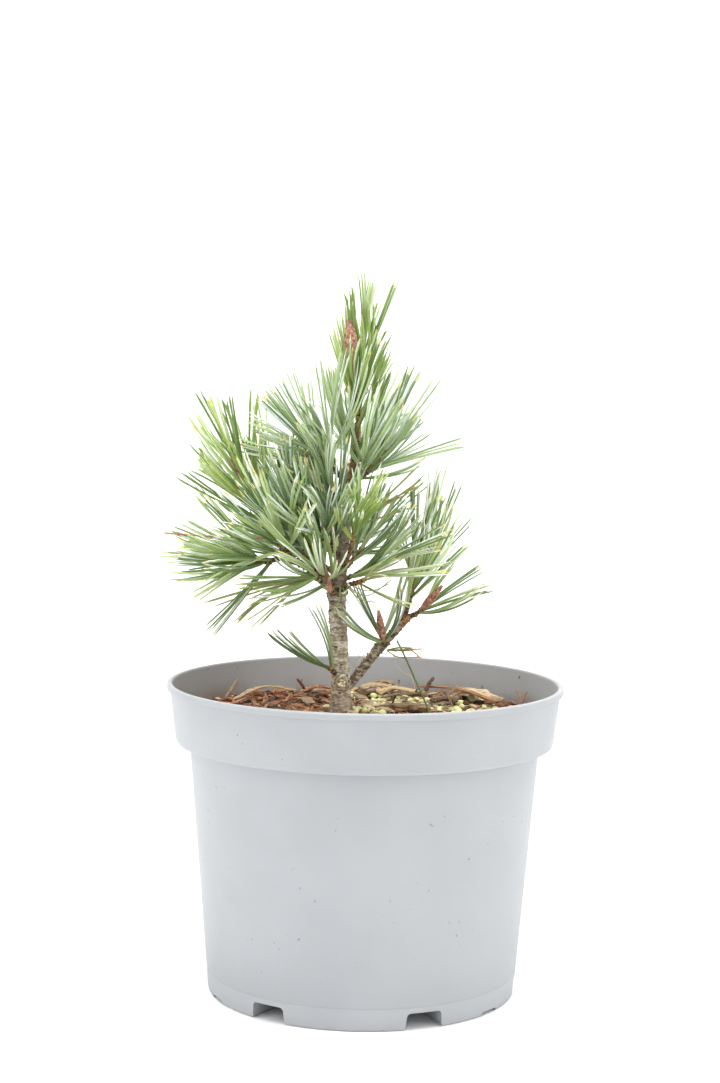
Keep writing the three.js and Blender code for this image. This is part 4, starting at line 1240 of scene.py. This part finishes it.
def bundles_of(mass):
    """The line of each bundle of a mass: its root on the twig, its knee and its point."""
    number = mass["number"]
    low, high = mass["spreads"]
    for k, twig in enumerate(mass["twigs"]):
        count = round(mass["bundles"] * twig.share)
        for i in range(count):
            item = 100 * k + i
            f = (i + 0.5) / count
            u = twig.zone + (1 - twig.zone) * f
            heading = twig.heading(u)
            around = i * GOLDEN_ANGLE + TURN_JITTER * (draw(number, item, 1) - 0.5)
            spread = low + (high - low) * f**FAN_CURVE
            angle = math.radians(spread + LEAN_JITTER * (draw(number, item, 2) - 0.5))
            start = leaning(heading, around, angle)
            outward = leaning(heading, around, math.pi / 2)
            root = twig.at(u) - outward * (ROOT_DEPTH * twig.radii[1])
            share = LEAST_LENGTH + LENGTH_SPREAD * draw(number, item, 3)
            length = mass["length"] * share * NEEDLE_GROWTH
            end = start.lerp(heading, FORWARD_BEND)
            sway = [draw(number, item, use) - 0.5 for use in (4, 5, 6)]
            end += Vector(sway) * SWAY + UP * (2 * mass["rise"])
            whole = (start + end.normalized()) / 2
            for side, reach in enumerate(CROWN_REACH):
                if abs(root[side] + whole[side] * length) > reach:
                    length = min(length, (reach - abs(root[side])) / abs(whole[side]))
            knee = root + start * (length / 2)
            point = knee + end.normalized() * (length / 2)
            if not touches_limb(root, knee, point) and not hides_bud(root, knee, point):
                yield item, root, knee, point


def make_needle_tree():
    tree = Growth("five_needles", {
        "Needles": "Int", "Width": "Float", "Spread": "Float", "Curl": "Float", "Wave": "Float",
        "Tip share": "Float", "Seed": "Int", **dict.fromkeys(NEEDLE_FACES, "Material")})
    given = tree.given
    doubled = tree.shape("DuplicateElements", tree.shape("MeshToCurve", given["Geometry"]),
                         {"domain": "SPLINE"}, Amount=given["Needles"])
    which = doubled.other("Duplicate Index")
    bundle = tree.read("bundle")
    needle = bundle * NEEDLES + which

    def seed_for(use):
        return given["Seed"] * 16 + use

    def own(low, high, use):
        """A random number for each needle."""
        return tree.drawn(low, high, seed_for(use), needle)

    def spun(vector, angle):
        """A vector turned round the needle's own line."""
        sockets = {"Vector": vector, "Axis": tree.shape("InputTangent"), "Angle": angle}
        return tree.node("ShaderNodeVectorRotate", {"rotation_type": "AXIS_ANGLE"}, sockets)

    angle = which * (2 * math.pi / NEEDLES) + tree.read("turn") + own(-0.3, 0.3, 1)
    outward = spun(tree.shape("InputNormal"), angle)
    needles = tree.store(doubled, "outward", outward, "FLOAT_VECTOR")
    kept_outward = tree.read("outward", "FLOAT_VECTOR")
    along = tree.shape("SplineParameter")
    length = tree.shape("SplineLength")
    away = given["Width"] * 0.3 + given["Spread"] * own(0.35, 1.5, 2) * length * along ** 1.3
    parted = tree.scaled(kept_outward, away)
    for whose, amount, use in ((bundle, "Curl", 5), (needle, "Wave", 6)):
        aside = tree.node("FunctionNodeRandomValue", {"data_type": "FLOAT_VECTOR"}, {
            0: (-1, -1, -1), 1: (1, 1, 1), "ID": whose, "Seed": seed_for(use)})
        bend = tree.scaled(aside, given[amount] * length * along * along)
        parted = tree.vectors("ADD", parted, bend)
    needles = tree.shape("SetPosition", needles, Offset=parted)
    needles = tree.shape("TrimCurve", needles, {"mode": "FACTOR"}, End=own(0.9, 1, 3))
    needles = tree.store(needles, "along", along)
    turned_face = spun(kept_outward, own(-1.2, 1.2, 4))
    needles = tree.store(needles, "outward", turned_face, "FLOAT_VECTOR")
    needles = tree.store(needles, "own shade", own(-0.25, 0.25, 7))
    needles = tree.shape("SetCurveNormal", needles, {"mode": "FREE"}, Normal=kept_outward)
    root = (along / TAPER).least(1) * (1 - ROOT_WIDTH) + ROOT_WIDTH
    point = 1 - (((along - (1 - TAPER)) / TAPER).most(0)) ** 2 * 0.8
    profile = tree.shape("CurvePrimitiveCircle", Resolution=3, Radius=0.58)
    swept = tree.node("GeometryNodeCurveToMesh", sockets={
        0: needles, 1: profile, "Scale": root * point * given["Width"], "Fill Caps": True})
    swept = tree.shape("SetShadeSmooth", swept, Shade_Smooth=False)
    facing = tree.vectors("DOT_PRODUCT", tree.shape("InputNormal"), kept_outward, "Value")
    green = facing > GREEN_FACING
    shade = tree.read("shade") + tree.read("own shade")
    selections = {
        "waxy": True,
        "middle": green,
        "light": green * (shade > LIGHT_FROM),
        "deep": green * (shade < DEEP_UNDER),
        "tip": tree.read("along") > 1 - given["Tip share"],
    }
    for face, chosen in selections.items():
        swept = tree.shape("SetMaterial", swept, Selection=chosen, Material=given[face])
    return tree.end(swept)


def needle_finish(name, colour, worn, roughness=0.42):
    """One face of a needle: its own colour, a little paler or deeper from place to place."""
    leaf = Finish(name, colour, roughness)
    patches = leaf.noise(160, 2).between(0.35, 0.65)
    streaks = leaf.noise(1800, 1).between(0.4, 0.6)
    leaf.coat(patches * 0.5 + streaks * 0.3, worn)
    leaf.bump(leaf.noise(2400, 1), 0.08, 0.4)
    return leaf.material


def bent(root, knee, point):
    """Places along the smooth bend from a root over a knee to a point."""
    steps = [i / BUNDLE_STEPS for i in range(BUNDLE_STEPS + 1)]
    return [root.lerp(knee, t).lerp(knee.lerp(point, t), t) for t in steps]


finishes = {}
for tone, colours in TONES.items():
    for face, colour in zip(NEEDLE_FACES, colours):
        worn = [v + (26 if face == "waxy" else 14) for v in colour]
        finishes[tone, face] = needle_finish(f"needle_{tone}_{face}", colour, worn)

needle_tree = make_needle_tree()
for name, mass in masses.items():
    number, tone = mass["number"], mass["tone"]
    corners, edges, marks = [], [], []
    for k, (item, *line) in enumerate(bundles_of(mass)):
        edges += [(len(corners) + i, len(corners) + i + 1) for i in range(BUNDLE_STEPS)]
        corners += [place * MM for place in bent(*line)]
        turn = 2 * math.pi * draw(number, item, 22)
        marks += [(draw(number, item, 21), turn, k)] * (BUNDLE_STEPS + 1)
    rows = bpy.data.meshes.new("tuft_" + name)
    rows.from_pydata(corners, edges, [])
    for label, values in zip(("shade", "turn", "bundle"), zip(*marks)):
        marked(rows, label, values)
    tuft = grown(
        placed("tuft_" + name, rows), needle_tree, width=NEEDLE_WIDTH * MM, curl=CURL, wave=WAVE,
        spread=SPREADS[tone], tip_share=TIP_SHARES[tone], seed=number,
        needles=SPARSE_NEEDLES if mass["rise"] < HANGING else NEEDLES,
        **{face: finishes[tone, face] for face in NEEDLE_FACES})
    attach(tuft, "root")
    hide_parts("needles_" + name)

# Loose pieces caught in the plant: dry tan and reddish needles, thin young ones that hang from the
# whorl, an old tuft with withered tips on the right bough and a dark green stalk stuck in the soil.
LOOSE_NEEDLES = {
    # tone: width, then the places each one's line passes
    "dry": [
        (0.9, (-94, -34, 221.6), (-71, -30, 219.8), (-46, -26, 218.9)),
    ],
    "straw": [
        (0.4, (4, 4, 166.6), (-2.3, 2, 162.8), (-4.6, 2, 158.9), (-6, 3, 152.9)),
        (0.4, (3.5, 5, 163.4), (-0.8, 3, 161.2), (-3.6, 2, 157.9), (-5, 2, 154.5)),
        (0.35, (13.7, 6, 162.4), (15.2, 4, 156), (18.6, 3, 152.8), (23, 3, 150.9)),
        (0.3, (22, 3, 151.3), (23.5, 3, 147.5), (24.1, 4, 144.4)),
        (0.4, (-7.3, 30, 136.6), (-5.3, 28, 136.4), (-4.8, 26, 134)),
        (0.7, (-24, -16, 271), (-26.8, -20, 276.7), (-25, -20, 281.4), (-22.2, -20, 279.6)),
        (0.7, (-22, -16, 270), (-24, -20, 275.3), (-27.8, -20, 278), (-29.6, -20, 275.3)),
    ],
    "old": [
        (0.9, (10.5, 8, 163), (15.5, 2, 165), (22.6, -2, 165.6)),
        (0.8, (10.5, 8, 163), (17.5, 4, 163.8), (28, 2, 164.7)),
        (0.7, (10.5, 8, 162.6), (15.6, 4, 160.3), (28, 2, 160.8)),
        (0.8, (10.5, 8, 163), (18.4, 2, 163.6), (22.2, 0, 163.9), (26.6, 0, 160.1)),
        (0.8, (10.8, 8, 163.2), (14.6, 3, 163.4), (20.7, 0, 164.8)),
        (0.5, (-9, -3, 195.7), (1.5, -10, 193.6), (11.8, -14, 198)),
    ],
    "green": [
        (0.6, (-9, -3, 194.2), (-3.1, -10, 189.7), (4.9, -14, 188.4)),
        (0.6, (-9, -3, 194.7), (-0.3, -10, 191.2), (12.3, -16, 200.1)),
    ],
    "fresh": [
        (0.6, (-12.7, -4.4, 194.8), (-13.1, -7, 188.3), (-16.8, -7, 181.5)),
        (0.5, (-11.3, -4.4, 194.8), (-9.8, -7, 189.3), (-7.9, -7, 186.4)),
    ],
    "withered": [
        (0.7, (-8.2, -2, 285), (-11.3, -4, 288.4), (-9.9, -4, 293.1), (-11.4, -4, 295.9)),
        (0.6, (-3.6, -2, 284.7), (-0.8, -3, 288.1), (-1.8, -3, 291.4), (2, -4, 290.5)),
        (0.5, (-26, -20, 250), (-30, -24, 258), (-25, -26, 263), (-20, -26, 259)),
    ],
    "olive": [
        (1, (-6, -6, 226), (9, -12, 239), (24, -14, 254)),
        (1, (-6, -6, 225), (10, -12, 236), (25, -14, 247)),
        (0.9, (-6, -6, 224), (10, -12, 230), (24, -14, 235)),
        (0.9, (-6, -6, 226), (7, -12, 234), (20, -14, 241)),
        (0.9, (-6, -6, 227), (10, -12, 237), (26, -14, 245)),
    ],
}
DRY_TONES = {
    # tone: colour, worn colour, roughness
    "olive": ((132, 138, 74), (158, 158, 96), 0.42),
    "dry": ((146, 96, 78), (178, 130, 106), 0.6),
    "straw": ((200, 184, 156), (226, 214, 190), 0.6),
    "withered": ((186, 146, 102), (212, 180, 134), 0.6),
}
WITHERED_FROM_X = 21
TUFT_TOP_Z = 170
STALK = [(15, 6, 168), (18.5, 3, 161.5), (25.3, -3, 147.4), (30.7, -6, 135.4), (31.4, -6.4, 132)]
STALK_WIDTH = 0.95


def spindle(name, line, width, steps=24, sides=6):
    """A thin closed stem along a line, drawn to a point at its end."""
    shares = np.linspace(0, 1, steps)
    taper = np.clip((1 - shares) * 12, 0.06, 1) ** 0.6
    radius = np.repeat(taper[:, None] * width / 2, sides, axis=1)
    return tube(SmoothLine(line).places(shares), radius, name)


loose_finishes = {tone: finishes[tone, "middle"] for tone in ("old", "green", "fresh")}
loose_finishes |= {tone: needle_finish(tone + "_needle", *look) for tone, look in DRY_TONES.items()}
for tone, finish in loose_finishes.items():
    loose = bmesh.new()
    for width, *line in LOOSE_NEEDLES[tone]:
        loose.from_mesh(spindle("needle", line, width))
    needles = placed("loose_" + tone, mesh_of(loose, "loose"), finish)
    if tone == "old":
        needles.data.materials.append(loose_finishes["withered"])
        for face in needles.data.polygons:
            withered = face.center.x > WITHERED_FROM_X * MM and face.center.z < TUFT_TOP_Z * MM
            face.material_index = int(withered)
    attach(softened(needles, 50), "root")
    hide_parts("needles_front_low")

stalk = placed("loose_stalk", spindle("stalk", STALK, STALK_WIDTH, 60, 10),
               needle_finish("stalk_green", (80, 100, 50), (112, 130, 72), 0.5))
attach(softened(stalk, 60), "root")
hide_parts("needles_front_low")

# The plant stands on a plain white floor that curves up behind it, under soft studio light: a
# bright even room, a wide lamp at each side and one overhead. The camera has the photo's angle.
FLOOR_REACH = 3.0
FLOOR_BACK = 1.2
CURVE_RADIUS = 0.5
CURVE_STEPS = 12
BACKDROP_TOP = 4
ROOM_LIGHT = 0.85
LAMPS = {
    # name: place (m), aim (m), width and height (m), watts
    "left_lamp": ((-1.5, -0.9, 1.1), (0, 0, 0.15), (1.2, 1.6), 12),
    "right_lamp": ((1.5, -0.7, 1.1), (0, 0, 0.15), (1.2, 1.6), 10),
    "top_lamp": ((0.1, 0.0, 2.0), (0, 0, 0.1), (1.8, 1.4), 18),
    "backdrop_lamp": ((0, -0.2, 2.2), (0, 1.7, 0.6), (2.4, 0.6), 40),
}
CAMERA_PLACE = Vector((-3.55, -1006.4, 299.0)) * MM
CAMERA_DIP = 0.0821
CAMERA_ROLL = 0.0151
FOCAL_PIXELS = 2113
IMAGE_HEIGHT = 1083

backdrop_line = [(-FLOOR_REACH, 0), (FLOOR_BACK, 0)]
for step in range(1, CURVE_STEPS + 1):
    a = math.pi / 2 * step / CURVE_STEPS
    backdrop_line.append((FLOOR_BACK + CURVE_RADIUS * math.sin(a),
                          CURVE_RADIUS * (1 - math.cos(a))))
backdrop_line.append((FLOOR_BACK + CURVE_RADIUS, BACKDROP_TOP))
floor_mesh = bpy.data.meshes.new("floor")
floor_mesh.from_pydata(
    [(x, y, z) for y, z in backdrop_line for x in (-FLOOR_REACH, FLOOR_REACH)], [],
    [(2 * i, 2 * i + 1, 2 * i + 3, 2 * i + 2) for i in range(len(backdrop_line) - 1)])
paper = Finish("white_floor", (250, 250, 250), 0.8)
paper.coat(paper.noise(3, 2) * 0.3, (246, 247, 248))
floor = placed("floor", floor_mesh, paper.material)
softened(floor, 60)

room = bpy.data.worlds.new("studio")
room.use_nodes = True
room.node_tree.nodes["Background"].inputs["Color"].default_value = (1, 1, 1, 1)
room.node_tree.nodes["Background"].inputs["Strength"].default_value = ROOM_LIGHT
bpy.context.scene.world = room

for name, (place, aim, size, watts) in LAMPS.items():
    light = bpy.data.lights.new(name, "AREA")
    light.shape = "RECTANGLE"
    light.size, light.size_y = size
    light.energy = watts
    lamp = placed(name, light)
    lamp.location = place
    lamp.rotation_euler = (Vector(aim) - Vector(place)).to_track_quat("-Z", "Y").to_euler()

right = Vector((1, 0, 0))
forward = Vector((0, math.cos(CAMERA_DIP), -math.sin(CAMERA_DIP)))
upright = right.cross(forward)
turned_right = right * math.cos(CAMERA_ROLL) + upright * math.sin(CAMERA_ROLL)
turned_up = upright * math.cos(CAMERA_ROLL) - right * math.sin(CAMERA_ROLL)
lens = bpy.data.cameras.new("camera")
lens.lens = FOCAL_PIXELS * lens.sensor_width / IMAGE_HEIGHT
camera = placed("camera", lens)
stand = Matrix((turned_right, turned_up, -forward)).transposed().to_4x4()
camera.matrix_world = Matrix.Translation(CAMERA_PLACE) @ stand
bpy.context.scene.camera = camera
bpy.context.scene.view_settings.view_transform = "Standard"
